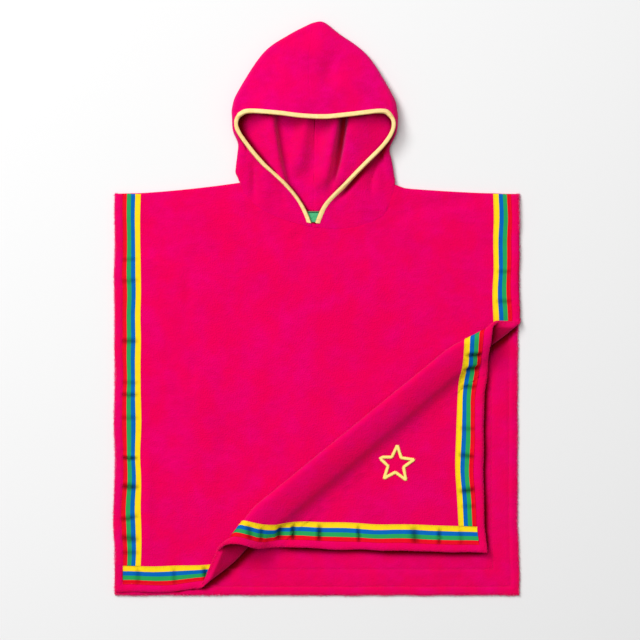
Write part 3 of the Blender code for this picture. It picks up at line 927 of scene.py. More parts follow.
class LoopRecipe(NodeRecipe):
    """Short loops of pile standing on a surface where its "pile" attribute is 1."""

    def __init__(self) -> None:
        """Build the tree."""
        super().__init__("pile_loops", {
            "Density": ("NodeSocketFloat", 400000.0), "Height": ("NodeSocketFloat", 0.0009),
            "Width": ("NodeSocketFloat", 0.0006), "Lean": ("NodeSocketFloat", 0.5),
            "Seed": ("NodeSocketInt", 1), "Material": ("NodeSocketMaterial", None)})
        add = self.graph.node
        given = self.given.outputs
        weight = add("GeometryNodeInputNamedAttribute", {"data_type": "FLOAT"}, {"Name": "pile"})
        density = add("ShaderNodeMath", {"operation": "MULTIPLY"},
                      {0: weight.outputs[0], 1: given["Density"]})
        spots = add("GeometryNodeDistributePointsOnFaces", {"distribute_method": "RANDOM"},
                    {"Mesh": given["Geometry"], "Density": density.outputs[0], "Seed": given["Seed"]})
        lean = add("FunctionNodeRandomValue", {"data_type": "FLOAT_VECTOR"},
                   {"Min": (-1.0, -1.0, -3.2), "Max": (1.0, 1.0, 3.2), "Seed": given["Seed"]})
        leant = add("ShaderNodeVectorMath", {"operation": "MULTIPLY"}, {0: lean.outputs[0]})
        push = add("ShaderNodeCombineXYZ", None, {0: given["Lean"], 1: given["Lean"], 2: 1.0})
        self.graph.feed(leant.inputs[1], push.outputs[0])
        turned = add("FunctionNodeRotateRotation", {"rotation_space": "LOCAL"},
                     {0: spots.outputs["Rotation"], 1: leant.outputs[0]})
        size = add("ShaderNodeCombineXYZ", None,
                   {0: given["Width"], 1: given["Width"], 2: given["Height"]})
        loop = add("GeometryNodeMeshIcoSphere", None, {"Radius": 1.0, "Subdivisions": 1})
        self._close(spots.outputs[0], loop, turned, size, 0.6, 1.25)


def line_curve(name: str, lines: Iterable[Array]) -> bpy.types.Curve:
    """A curve of straight runs through rows of points.

    Args:
        name: the curve's name.
        lines: rows of points, each to be one spline.

    Returns:
        The curve.
    """
    curve = bpy.data.curves.new(name, "CURVE")
    curve.dimensions = "3D"
    for line in lines:
        spline = curve.splines.new("POLY")
        spline.points.add(len(line) - 1)
        for point, place in zip(spline.points, line):
            point.co = (*place, 1.0)
    return curve


PILE_INSET = 0.0008
LOOPS_REACH = 0.0025
FUZZ_REACH = 0.0004
LOOPS = {"Density": 600000.0}
FUZZ = {"Density": 420000.0, "Height": 0.0028, "Width": 0.00024, "Lean": 0.60}


class Repeats:
    """The stitches and pile that every piece shares."""

    def __init__(self) -> None:
        """Make the two node trees."""
        self.stitches = StitchRecipe()
        self.loops = LoopRecipe()

    def sew(self, name: str, lines: Iterable[Array], finish: Finish, slot: str,
            **sizes: Any) -> Piece:
        """Lay stitches along lines.

        Args:
            name: the piece's name.
            lines: rows of points in place.
            finish: the thread.
            slot: the record's material slot.
            sizes: the stitches' sizes, by input name.

        Returns:
            The piece.
        """
        values = {"Material": finish.material(), **sizes}
        mesh = self.stitches.apply(line_curve(name, lines), values)
        return add_piece(name, mesh, finish, slot)

    def grow_pile(self, name: str, mesh: Mesh, weight: Array, finish: Finish,
                  slot: str, **sizes: Any) -> Piece:
        """Stand loops of pile on part of a surface.

        Args:
            name: the piece's name.
            mesh: the surface.
            weight: share of the full density at each of its points.
            finish: the yarn.
            slot: the record's material slot.
            sizes: the loops' sizes, by input name.

        Returns:
            The piece.
        """
        source = mesh.copy()
        source.name = name
        source.attributes.new("pile", "FLOAT", "POINT").data.foreach_set("value", weight)
        made = self.loops.apply(source, {"Material": finish.material(), **sizes})
        return add_piece(name, made, finish, slot)


# ---- Cut of the body ----

@dataclass(frozen=True)
class BodyCut:
    """Flat cut of the two body panels: square, with a scooped neck drawn askew by the hood."""

    half: float = 0.300
    shoulder: float = 0.170
    front_hem: float = -0.4205
    back_hem: float = -0.4255
    pleat_side: float = -0.060
    bow: float = 0.009
    wander: float = 0.0022
    neck_x: float = 0.0022
    neck_y: float = 0.1834
    neck_half: float = 0.1166
    neck_tilt: float = -0.0037
    neck_skew: float = 0.0105
    corners_in: Pair = (0.0025, 0.0055)
    corners_up: Pair = (0.0, 0.0050)
    corner_reach: float = 0.018
    corner_start: float = 0.80
    shoulder_curve: float = 1.6
    shoulder_points: int = 24
    neck_points: int = 60
    front_drop: float = 0.0620
    back_drop: float = 0.0385

    def neck_point(self, angle: float, drop: float, side_inset: float = 0.0,
                   low_inset: float = 0.0) -> Vector:
        """Point of a neck edge.

        Args:
            angle: runs from pi at the left shoulder to 2 pi at the right.
            drop: depth of the neck.
            side_inset: how far the point lies inside the neck's sides.
            low_inset: how far it lies above the neck's lowest point.

        Returns:
            The point on the flat cut.
        """
        run = math.cos(angle)
        dip = -math.sin(angle)
        x = self.neck_x + (self.neck_half - side_inset) * run
        y = self.neck_y + self.neck_tilt * run - (drop - low_inset) * dip - self.neck_skew * run * dip
        end = float(smooth((abs(run) - self.corner_start) / (1 - self.corner_start)))
        side = int(run > 0)
        inward = math.copysign(self.corners_in[side] * end, run)
        return Vector((x - inward, y + self.corners_up[side] * end))

    def neck_edge(self, drop: float, count: int, inset: float = 0.0) -> list[Vector]:
        """A panel's neck edge from the right shoulder to the left, moved out into the panel."""
        return [self.neck_point(a, drop, -inset, -inset) for a in steps(2 * math.pi, math.pi, count)]

    def shoulder_y(self, x: float) -> float:
        """Level of the shoulder seam: even at the side, drawn up towards the neck.

        Args:
            x: place across the body.

        Returns:
            The seam's y there.
        """
        end = self.neck_point(math.pi if x < 0 else 2 * math.pi, 0.0)
        corner = self.corners_up[int(x > 0)]
        away = (abs(x) - abs(end.x)) / (self.half - abs(end.x))
        rise = (end.y - corner - self.shoulder) * (1 - min(max(away, 0.0), 1.0)) ** self.shoulder_curve
        return self.shoulder + rise + corner * max(0.0, 1 - (abs(x) - abs(end.x)) / self.corner_reach)

    def shoulder_line(self, side: int, count: int, inset: float = 0.0) -> list[Vector]:
        """Points of a shoulder seam from the side to the neck.

        Args:
            side: -1 for the left shoulder, 1 for the right.
            count: how many points.
            inset: how far the line lies inside the cut.

        Returns:
            The points.
        """
        neck_x = abs(self.neck_point(math.pi if side < 0 else 2 * math.pi, 0.0).x)
        xs = steps(self.half - inset, neck_x + inset, count)
        return [Vector((side * x, self.shoulder_y(side * x) - inset)) for x in xs]

    def edge_bow(self, y: Any) -> Any:
        """Share of the right edge's bend inwards at a level: nothing above the pleat."""
        below = (self.pleat_side - y) / (self.pleat_side - self.front_hem)
        return np.sin(np.pi * np.clip(below, 0.0, 1.0))

    def front_side(self, y: Any) -> Any:
        """Right edge of the front's cut, drawn in a little by its ribbon."""
        return self.half - self.bow * self.edge_bow(y)

    def ribbon_side(self, y: Any) -> Any:
        """Line that the right ribbon keeps its distance from: it wanders a little off the edge."""
        return self.front_side(y) - self.wander * self.edge_bow(y)

    def front_edges(self, flat: Array) -> tuple[Array, Array, Array]:
        """How far points of the front lie inside its left, right and lower edges."""
        return (flat[:, 0] + self.half, self.front_side(flat[:, 1]) - flat[:, 0],
                flat[:, 1] - self.front_hem)

    def back_edge(self, flat: Array) -> Array:
        """How far points of the back lie inside its nearest side or lower edge."""
        return np.minimum(self.half - np.abs(flat[:, 0]), flat[:, 1] - self.back_hem)

    def side_line(self, side: int, distance: float, levels: Sequence[float]) -> list[Vector]:
        """Points inside one of the front's side edges.

        Args:
            side: -1 for the left edge, 1 for the right.
            distance: how far inside it.
            levels: the points' y.

        Returns:
            The points.
        """
        if side < 0:
            return [Vector((distance - self.half, y)) for y in levels]
        return [Vector((self.ribbon_side(y) - distance, y)) for y in levels]

    def outline(self, hem: float, drop: float, right: Line, step: float) -> list[Vector]:
        """Closed outline of a panel, anticlockwise from its lower left corner.

        Args:
            hem: level of the panel's hem.
            drop: depth of its neck.
            right: points of its right edge, from the hem up.
            step: greatest distance between points.

        Returns:
            The outline, with no point twice.
        """
        corner = Vector((-self.half, hem))
        path = [corner, *right, *self.shoulder_line(1, self.shoulder_points)[1:]]
        path += self.neck_edge(drop, self.neck_points)[1:]
        path += self.shoulder_line(-1, self.shoulder_points)[::-1][1:] + [corner]
        return spaced(path, step)[:-1]


CUT = BodyCut()


# ---- Drape of the front ----

class PleatStep(NamedTuple):
    """A stretch of cloth across the pleat and the angle it ends at, by the edges and in the middle."""

    name: str
    edge_length: float
    edge_angle: float
    middle_length: float
    middle_angle: float
    pieces: int


@dataclass(frozen=True)
class Pleat:
    """The soft pleat in which the front stands where its lower right corner is pushed up."""

    angle: float = math.radians(39.7)
    start_edge: float = 0.2025
    start_middle: float = 0.1925
    hem_end: float = -0.345
    side_end: float = 0.190
    flare: float = 0.090
    slide: float = 0.021
    slide_lead: float = 0.034
    slide_fade: float = 0.120
    slide_peak: float = 0.33
    shift: Pair = (-0.049, 0.058)
    turn: float = math.radians(-1.6)
    steps: tuple[PleatStep, ...] = (
        PleatStep("turn_up", 14.0, 155.0, 12.0, 172.0, 5),
        PleatStep("leaf", 30.0, 140.0, 20.0, 168.0, 3),
        PleatStep("roll", 22.0, 4.0, 20.0, -5.0, 6),
        PleatStep("crown", 30.0, -32.0, 30.0, -26.0, 4),
        PleatStep("slope", 0.0, -36.0, 0.0, -50.0, 3),
        PleatStep("settle", 38.0, 0.0, 24.0, 0.0, 5),
    )
    fineness: int = 8
    stations: Pair = (-0.56, 0.36)
    station_step: float = 0.004
    shares: int = 321
    lattice_past: Pair = (0.13, 0.10)

    def __post_init__(self) -> None:
        """Work out the sections of the pleat at close stations along it."""
        stations = np.arange(*self.stations, self.station_step)
        table = np.array([self._section(t) for t in stations])
        object.__setattr__(self, "_stations", stations)
        object.__setattr__(self, "_table", table)

    @property
    def along(self) -> Array:
        """Direction of the pleat."""
        return np.array((math.cos(self.angle), math.sin(self.angle)))

    @property
    def across(self) -> Array:
        """Direction across the pleat, towards the pushed corner."""
        return np.array((math.sin(self.angle), -math.cos(self.angle)))

    def pushed(self, flat: Array) -> Array:
        """Where points of the free corner lie after it is pushed up.

        Args:
            flat: points of the flat cut.

        Returns:
            Their places.
        """
        corner = np.array((CUT.half, CUT.front_hem))
        turned = np.array(((math.cos(self.turn), -math.sin(self.turn)),
                           (math.sin(self.turn), math.cos(self.turn))))
        return corner + np.array(self.shift) + (flat - corner) @ turned.T

    def middle_share(self, t: Any) -> Any:
        """1 along the middle of the pleat, 0 at its two free ends."""
        return smooth((t - self.hem_end) / self.flare) * smooth((self.side_end - t) / self.flare)

    def start(self, t: Any) -> Any:
        """Distance across the pleat at which the front leaves the back panel."""
        return mix(self.start_edge, self.start_middle, self.middle_share(t))

    def _walk(self, lengths: Sequence[float], angles: Sequence[float]) -> list[tuple[float, ...]]:
        """Follow the cloth across the pleat.

        Args:
            lengths: length of cloth in each step.
            angles: the angle that each step ends at.

        Returns:
            Rows of length, distance, height and angle.
        """
        rows = [(0.0, 0.0, 0.0, 0.0)]
        heading = 0.0
        for step, length, angle in zip(self.steps, lengths, angles):
            count = step.pieces * self.fineness
            piece = length / count
            for i in range(count):
                bend = heading + (angle - heading) * (i + 0.5) / count
                total, run, rise, _ = rows[-1]
                rows.append((total + piece, run + piece * math.cos(bend), rise + piece * math.sin(bend),
                             heading + (angle - heading) * (i + 1) / count))
            heading = angle
        return rows

    def _section(self, t: float) -> Array:
        """One section of the pleat.

        Args:
            t: its station along the pleat.

        Returns:
            Cloth, distance, height and angle at even shares of the pleat's cloth.
        """
        share = self.middle_share(t)
        lengths = [mix(s.edge_length, s.middle_length, share) * MM for s in self.steps]
        angles = [math.radians(mix(s.edge_angle, s.middle_angle, share)) for s in self.steps]
        slope = [s.name for s in self.steps].index("slope")
        lengths[slope] = self._walk(lengths, angles)[-1][2] / -math.sin(angles[slope])
        rows = np.array(self._walk(lengths, angles))
        start = self.across * self.start(t) + self.along * t
        freed = -(self.pushed(start) - start) @ self.across
        rows[:, :3] *= freed / (rows[-1, 0] - rows[-1, 1])
        shares = np.linspace(0.0, rows[-1, 0], self.shares)
        return np.stack([shares] + [np.interp(shares, rows[:, 0], rows[:, k]) for k in (1, 2, 3)])

    def _read(self, t: Array, share: Array) -> Array:
        """Blend values from the table of sections.

        Args:
            t: stations along the pleat.
            share: share of the pleat's cloth at each.

        Returns:
            Cloth, distance, height and angle at each.
        """
        i = np.clip((t - self._stations[0]) / self.station_step, 0, len(self._stations) - 1.001)
        j = np.clip(share, 0.0, 1.0) * (self.shares - 1.001)
        i0, j0 = i.astype(int), j.astype(int)
        fi, fj = (i - i0)[:, None], (j - j0)[:, None]
        near = mix(self._table[i0, :, j0], self._table[i0, :, j0 + 1], fj)
        far = mix(self._table[i0 + 1, :, j0], self._table[i0 + 1, :, j0 + 1], fj)
        return mix(near, far, fi)

    def cloth(self, t: Array) -> Array:
        """Length of cloth that the pleat takes up at each station."""
        return self._read(t, np.ones(len(t)))[:, 0]

    def drape(self, flat: Array) -> tuple[Array, Array]:
        """Carry points of the front's flat cut to its upper face.

        Args:
            flat: points of the flat cut.

        Returns:
            The places and the face's normals, three numbers each.
        """
        s, t = flat @ self.across, flat @ self.along
        taken = s - self.start(t)
        cloth = self.cloth(t)
        share = np.clip(taken / cloth, 0.0, 1.0)
        _, run, rise, angle = self._read(t, share).T
        end_run = self._read(t, np.ones(len(t)))[:, 1]
        start = flat - taken[:, None] * self.across
        end = self.pushed(start + cloth[:, None] * self.across)
        drift = end - start - end_run[:, None] * self.across
        place = start + run[:, None] * self.across + drift * smooth(share)[:, None]
        before, after = taken <= 0, taken >= cloth
        place[before] = flat[before]
        place[after] = self.pushed(flat[after])
        place += self._slid(t, taken, cloth)[:, None] * self.along
        flat_part = before | after
        rise = np.where(flat_part, 0.0, rise)
        angle = np.where(flat_part, 0.0, angle)
        normal = np.column_stack((-np.sin(angle)[:, None] * self.across, np.cos(angle)))
        return np.column_stack((place, FRONT_TOP + rise)), normal

    def _slid(self, t: Array, taken: Array, cloth: Array) -> Array:
        """How far the cloth slides along the pleat where its hem is drawn up.

        Args:
            t: stations along the pleat.
            taken: length of cloth from the pleat's start to each point.
            cloth: length of cloth in the pleat there.

        Returns:
            A distance for each point.
        """
        peak = self.slide_peak * cloth
        slide = self.slide * smooth((taken + self.slide_lead) / (peak + self.slide_lead))
        slide = slide * smooth((cloth - taken) / (cloth - peak))
        return slide * (1 - smooth((t - self.hem_end) / self.slide_fade))

    def lattice(self, spacing: float, every: int) -> list[list[Vector]]:
        """Lines along the pleat's bends, for the mesh to follow.

        Args:
            spacing: distance between points along the pleat.
            every: how many steps of the table lie between lines.

        Returns:
            The lines, each from the hem towards the right edge.
        """
        before, after = self.lattice_past
        t = np.arange(self.hem_end - before, self.side_end + after, spacing)
        cloth = self.cloth(t)
        lines = []
        for share in np.arange(0, self.shares, every) / (self.shares - 1):
            s = self.start(t) + cloth * share
            points = s[:, None] * self.across + t[:, None] * self.along
            lines.append([Vector(p) for p in points])
        return lines


# ---- Front panel, its ribbons and its star ----

FRONT_CREASES = (
    Crease(-251.0, -206.0, -251.0, -354.0, 2.2, 6.5),
    Crease(-258.0, 79.0, -222.0, 60.0, 1.6, 7.0),
    Crease(-222.0, 60.0, -189.0, 27.0, 1.4, 7.0),
    Crease(-193.0, 57.0, -192.0, -13.0, -1.8, 4.5),
    Crease(-184.0, -76.0, -186.0, -117.0, -1.6, 4.5),
    Crease(98.0, 140.0, 238.0, 164.0, -2.4, 10.0),
    Crease(100.0, 139.0, 150.0, 152.0, 1.8, 5.0),
    Crease(-92.0, 172.0, -88.0, 150.0, -1.6, 5.0),
    Crease(-46.0, 112.0, -36.0, 112.0, 1.8, 5.0),
    Crease(-34.0, 110.0, -26.0, 104.0, -1.8, 5.0),
    Crease(-110.0, 150.0, -80.0, 120.0, -1.6, 7.0),
    Crease(120.0, 120.0, 170.0, 100.0, 1.3, 12.0),
    Crease(-150.0, -250.0, -130.0, -330.0, -1.2, 12.0),
    Crease(-60.0, -40.0, -20.0, -120.0, 0.9, 16.0),
)


class Pucker(NamedTuple):
    """A dent across a ribbon, in millimetres: where along it, how deep, how wide and its slant."""

    along: float
    depth: float
    width: float
    slant: float = 0.0


LEFT_PUCKERS = (
    Pucker(72.0, 0.7, 3.1), Pucker(42.0, 0.9, 3.5), Pucker(-49.0, 1.3, 3.5), Pucker(-111.0, 0.8, 3.1),
    Pucker(-129.5, 1.3, 3.1), Pucker(-163.0, 0.7, 3.5), Pucker(-222.5, 1.9, 2.8),
    Pucker(-265.0, 1.8, 4.0), Pucker(-311.0, 1.3, 3.5, 6.0), Pucker(-342.0, 1.4, 4.9, -4.0),
    Pucker(-363.0, 0.9, 4.0),
)
RIGHT_PUCKERS = (
    Pucker(54.0, 0.8, 3.5), Pucker(10.0, 0.9, 3.1), Pucker(-122.0, 2.0, 4.0, 2.0),
    Pucker(-146.0, 1.7, 4.9), Pucker(-176.0, 1.3, 3.5), Pucker(-237.0, 0.8, 3.5),
    Pucker(-278.0, 1.3, 4.0, 3.0), Pucker(-329.0, 1.7, 4.0, -5.0), Pucker(-353.0, 0.8, 3.1),
)
HEM_PUCKERS = (
    Pucker(-265.0, 0.9, 4.0), Pucker(-212.0, 0.9, 3.1), Pucker(-170.0, 1.8, 3.5),
    Pucker(-62.0, 1.2, 4.9), Pucker(-40.0, 1.3, 4.0), Pucker(-8.0, 1.8, 4.9), Pucker(12.0, 2.2, 3.2),
    Pucker(52.0, 2.0, 4.0), Pucker(110.0, 1.7, 3.1, -3.0), Pucker(193.0, 1.5, 6.5, -4.0),
    Pucker(230.0, 1.6, 3.1), Pucker(262.0, 0.7, 4.0),
)


@dataclass(frozen=True)
class RibbonPlan:
    """Where one ribbon is cut from the front, its outer edge's side and its puckers."""

    name: str
    node: str
    side: int
    puckers: tuple[Pucker, ...]


@dataclass
class FrontPanel:
    """The front: terry draped over the back, with its hems, ribbons, stitches and star."""

    repeats: Repeats
    pleat: Pleat = field(default_factory=Pleat)
    grid: float = 0.0055
    grid_margin: float = 0.004
    neck_room: float = 0.020
    lattice_every: int = 8
    spacing: float = 0.0032
    least_step: float = 0.0002
    pucker_step: float = 0.0011
    pucker_reach: float = 2.2
    line_points: int = 36
    fine_points: int = 120
    fine_step: float = 0.001
    edge_lines: tuple[float, ...] = (0.0007, 0.0018, 0.0040, 0.0075, 0.0100)
    ribbon_lines: tuple[float, ...] = (0.0129, 0.0182, 0.0250, 0.0310, 0.0371, 0.0400)
    seam_lines: tuple[float, ...] = (0.0010, 0.0025, 0.0050)
    hem_rise: float = 0.0017
    edge_radius: float = 0.0016
    seam_radius: float = 0.0026
    neck_rise: float = 0.0016
    neck_swell: float = 0.014
    lumps: tuple[tuple[float, float, float], ...] = ((0.00035, 0.045, 3.1), (0.00022, 0.016, 7.7))
    ribbon_sink: float = 0.0007
    sink_edge: float = 0.05
    pucker: float = 0.00045
    pucker_size: float = 0.0075
    pucker_across: float = 0.55
    drawn: Pair = (0.40, 0.45)
    dent: float = 1.35
    dent_outer: Pair = (0.15, 0.30)
    dent_inner: Pair = (0.86, 0.22)
    dent_pivot: float = 0.4
    ridge_away: float = 1.7
    ridge_share: float = 0.5
    deepest_pucker: float = 0.0019
    pushed_from: float = 0.24
    pushed_over: float = 0.05
    lift_reach: float = 0.036
    lift_uneven: float = 0.3
    lift_size: float = 0.07
    hem_lift: float = 0.0085
    side_lift: float = 0.0050
    notch_x: float = -0.0055
    notch_width: float = 0.0100
    notch_rise: float = 0.0042
    notch_reach: float = 0.020
    under_radius: float = 0.0011
    under_band: float = 0.0013
    leaf_turn: float = 1.6
    leaf_edge: Pair = (0.005, 0.006)
    # Share of shade painted on the pleat's upside-down cloth.
    leaf_shade: float = 0.95
    leaf_drop: float = 0.0090
    leaf_reach: float = 0.0130
    loose_reach: float = 0.030
    unevenness: float = 0.0009
    uneven_size: float = 0.035
    ribbon_wave: float = 0.0025
    wave_size: float = 0.055
    ribbon_rise: float = 0.0016
    ribbon_under: float = 0.0002
    ribbon_radius: float = 0.0006
    stitch_sink: float = 0.0006
    stitch_inset: float = 0.0014
    stitch_spread: float = 0.0013
    row_inset: float = 0.0013
    row_rise: float = 0.0011
    row_step: float = 0.002
    fuzz_until: float = 0.10
    ribbons: tuple[RibbonPlan, ...] = (
        RibbonPlan("ribbon_left", "ribbon_front_left", -1, LEFT_PUCKERS),
        RibbonPlan("ribbon_right", "ribbon_front_right", 1, RIGHT_PUCKERS),
        RibbonPlan("ribbon_hem", "ribbon_front_hem", 0, HEM_PUCKERS),
    )

    def _runs(self, start: float, end: float, puckers: Iterable[Pucker]) -> list[float]:
        """Space numbers, closer together at puckers.

        Args:
            start: the first number.
            end: the last number.
            puckers: the dents on the way.

        Returns:
            The numbers, rising.
        """
        runs = steps(start, end, round((end - start) / self.spacing) + 1)
        for pucker in puckers:
            reach = self.pucker_reach * pucker.width + abs(pucker.slant)
            close = np.arange(pucker.along - reach, pucker.along + reach, self.pucker_step / MM) * MM
            runs += [run for run in close.tolist() if start < run < end]
        runs.sort()
        return [a for a, b in zip(runs, runs[1:]) if b - a > self.least_step] + [end]

    def levels(self, bottom: float, puckers: Iterable[Pucker] = ()) -> list[float]:
        """Levels of closely spaced points up a side edge."""
        return self._runs(bottom, CUT.shoulder, puckers)

    def hem_line(self, distance: float, left: float, right: float,
                 puckers: Iterable[Pucker] = ()) -> list[Vector]:
        """Points along the hem.

        Args:
            distance: how far above it.
            left: how far from the left side they start.
            right: how far from the right side they end.
            puckers: the dents on the way.

        Returns:
            The points.
        """
        y = CUT.front_hem + distance
        start, end = -CUT.half + left, float(CUT.front_side(y)) - right
        return [Vector((x, y)) for x in self._runs(start, end, puckers)]

    def ribbon_outline(self, plan: RibbonPlan) -> list[Vector]:
        """Closed outline of a ribbon on the flat cut.

        Args:
            plan: the ribbon.

        Returns:
            The outline's points, anticlockwise.
        """
        low = CUT.front_hem + HEM_WIDTH
        if plan.side == 0:
            near = self.hem_line(HEM_WIDTH, HEM_WIDTH, HEM_WIDTH, plan.puckers)
            far = self.hem_line(HEM_WIDTH + RIBBON_WIDTH, HEM_WIDTH, HEM_WIDTH, plan.puckers)
            return spaced([*near, *far[::-1], near[0]], self.spacing)[:-1]
        levels = self.levels(low + RIBBON_WIDTH + SEAM_GAP, plan.puckers)
        near = CUT.side_line(plan.side, HEM_WIDTH, levels)
        far = CUT.side_line(plan.side, HEM_WIDTH + RIBBON_WIDTH, levels)
        path = near[::-1] + far if plan.side < 0 else near + far[::-1]
        return spaced([*path, path[0]], self.spacing)[:-1]

    def ribbon_map(self, plan: RibbonPlan, flat: Array) -> Array:
        """Map points of the cut to a ribbon.

        Args:
            plan: the ribbon.
            flat: points of the flat cut.

        Returns:
            Metres along it, and 0 at its outer edge to 1 at its inner.
        """
        if plan.side == 0:
            return np.column_stack((flat[:, 0], (flat[:, 1] - CUT.front_hem - HEM_WIDTH) / RIBBON_WIDTH))
        if plan.side < 0:
            away = flat[:, 0] + CUT.half
        else:
            away = CUT.ribbon_side(flat[:, 1]) - flat[:, 0]
        return np.column_stack((flat[:, 1], (away - HEM_WIDTH) / RIBBON_WIDTH))

    def divide(self) -> tuple[Array, Faces, list[set[int]]]:
        """Cut the front into triangles that follow its edges, ribbons and pleat.

        Returns:
            The points, the triangles, and the outlines that each is in.
        """
        right = [Vector((float(CUT.front_side(y)), y)) for y in self.levels(CUT.front_hem)]
        cut = CutMesh(CUT.outline(CUT.front_hem, CUT.front_drop, right, self.spacing))
        for plan in self.ribbons:
            cut.add_cut(self.ribbon_outline(plan))
        for distance in self.edge_lines:
            for side in (-1, 1):
                cut.add_line(CUT.side_line(side, distance, self.levels(CUT.front_hem + distance)))
            cut.add_line(self.hem_line(distance, distance, distance))
        for distance in self.ribbon_lines:
            for plan in self.ribbons:
                if plan.side == 0:
                    cut.add_line(self.hem_line(distance, HEM_WIDTH, HEM_WIDTH, plan.puckers))
                else:
                    levels = self.levels(CUT.front_hem + HEM_WIDTH, plan.puckers)
                    cut.add_line(CUT.side_line(plan.side, distance, levels))
        for inset in self.seam_lines:
            cut.add_line(CUT.neck_edge(CUT.front_drop, CUT.neck_points, inset))
            for side in (-1, 1):
                cut.add_line(CUT.shoulder_line(side, self.line_points, inset))
        for line in self.pleat.lattice(self.grid, self.lattice_every):
            cut.add_line(line)
        cut.add_points(self._grid_points())
        return cut.divide()

    def _grid_points(self) -> list[Vector]:
        """Loose points between the edges and the pleat.

        Returns:
            The points.
        """
        gap = self.grid_margin
        xs = np.arange(-CUT.half + gap, CUT.half, self.grid)
        ys = np.arange(CUT.front_hem + gap, CUT.shoulder + self.neck_room, self.grid)
        places = np.array([(x, y) for y in ys for x in xs])
        t = places @ self.pleat.along
        taken = places @ self.pleat.across - self.pleat.start(t)
        free = (taken < -gap) | (taken > self.pleat.cloth(t) + gap)
        return [Vector(p) for p in places[free]]

    def _from_neck(self, flat: Array) -> Array:
        """How far points of the cut lie from its neck edge."""
        return nearest(flat, spaced(CUT.neck_edge(CUT.front_drop, self.fine_points), self.fine_step))

    def relief(self, flat: Array) -> Array:
        """Height of hems, seams, puckers and creases over the draped front.

        Args:
            flat: points of the flat cut.

        Returns:
            A height for each point.
        """
        edge = np.minimum.reduce(CUT.front_edges(flat))
        neck = self._from_neck(flat)
        shoulder = np.minimum(*(nearest(flat, spaced(CUT.shoulder_line(side, self.fine_points // 2),
                                                     self.fine_step)) for side in (-1, 1)))
        height = self.hem_rise * hem_swell(edge, HEM_WIDTH)
        height -= rounded(edge, self.edge_radius) + rounded(shoulder, self.seam_radius)
        height += self.neck_rise * np.exp(-(neck / self.neck_swell) ** 2)
        height -= rounded(neck, self.seam_radius) * seam_depth(flat[:, 0])
        height += crease_height(FRONT_CREASES, flat)
        height += self._under_ribbons(flat)
        height += sum(rise * wander(flat, size, seed) for rise, size, seed in self.lumps)
        return height

    def _under_ribbons(self, flat: Array) -> Array:
        """Terry pressed down under the ribbons and drawn into puckers along their stitches.

        Args:
            flat: points of the flat cut.

        Returns:
            A height for each point.
        """
        height = np.zeros(len(flat))
        outer, inner = self.drawn
        for number, plan in enumerate(self.ribbons):
            along, across = self.ribbon_map(plan, flat).T
            reach = smooth((across + outer) / outer) * smooth((1 + inner - across) / inner)
            wave = np.array([noise.noise(Vector((u / self.pucker_size, v * self.pucker_across,
                                                 9.0 * number + 1.0))) for u, v in zip(along, across)])
            height += self.pucker * wave * reach - self._dents(plan, along, across)
            inside = smooth(across / self.sink_edge) * smooth((1 - across) / self.sink_edge)
            height -= self.ribbon_sink * inside
        return height

    def _dents(self, plan: RibbonPlan, along: Array, across: Array) -> Array:
        """Depth of a ribbon's puckers, which stop short of its inner stripe.

        Args:
            plan: the ribbon.
            along: metres along it.
            across: 0 at its outer edge to 1 at its inner.

        Returns:
            A depth for each point.
        """
        start, end = self.dent_outer, self.dent_inner
        reach = smooth((across + start[0]) / start[1]) * smooth((end[0] - across) / end[1])
        lit = self.ridge_away if plan.side else -self.ridge_away
        depth = np.zeros(len(along))
        for pucker in plan.puckers:
            away = (along / MM - pucker.along - pucker.slant * (across - self.dent_pivot)) / pucker.width
            ridge = np.exp(-(away - lit) ** 2)
            depth += self.dent * pucker.depth * MM * (np.exp(-away ** 2) - self.ridge_share * ridge)
        return depth * reach

    def lie(self, flat: Array) -> tuple[Array, Array]:
        """Carry points of the flat cut to the draped front, with its lifted and uneven edges.

        Args:
            flat: points of the flat cut.

        Returns:
            The places and the face's normals.
        """
        place, normal = self.pleat.drape(flat)
        left, right, low = CUT.front_edges(flat)
        pushed = smooth((flat @ self.pleat.across - self.pushed_from) / self.pushed_over)
        hem = smooth((self.lift_reach - low) / self.lift_reach)
        hem *= 1 + self.lift_uneven * wander(flat, self.lift_size, 8.0)
        side = smooth((self.lift_reach - right) / self.lift_reach)
        place[:, 2] += pushed * np.maximum(self.hem_lift * hem, self.side_lift * side)
        near = 1 - smooth(np.minimum(low, right) / self.leaf_reach)
        drop = np.minimum(place[:, 2] - FRONT_TOP - TERRY, self.leaf_drop)
        place[:, 2] -= self._leaf_share(normal) * near * np.maximum(drop, 0.0)
        notch = np.exp(-((flat[:, 0] - self.notch_x) / self.notch_width) ** 2)
        place[:, 1] += self.notch_rise * notch * (1 - smooth(self._from_neck(flat) / self.notch_reach))
        edge = np.minimum.reduce((left, right, low))
        loose = 1 - smooth(edge / self.loose_reach)
        drawn = 1 - smooth((edge - self.loose_reach) / self.loose_reach)
        for axis in (0, 1):
            place[:, axis] += self.unevenness * loose * wander(flat, self.uneven_size, 20.0 + axis)
            place[:, axis] += self.ribbon_wave * drawn * wander(flat, self.wave_size, 40.0 + axis)
        return place, normal

    def _leaf_share(self, normal: Array) -> Array:
        """1 where the pleat's cloth lies upside down, 0 where it doesn't."""
        return smooth(-self.leaf_turn * normal[:, 2])

    def build(self) -> list[Piece]:
        """Make the panel with all that is sewn on it.

        Returns:
            The panel and its ribbons.
        """
        flat, faces, owners = self.divide()
        place, normal = self.lie(flat)
        relief = self.relief(flat)
        edge = np.minimum.reduce(CUT.front_edges(flat))
        outer = place + normal * relief[:, None]
        band = self.under_band * hem_swell(edge, HEM_WIDTH) * self._leaf_share(normal)
        inner = place + normal * (rounded(edge, self.under_radius) - TERRY - band)[:, None]
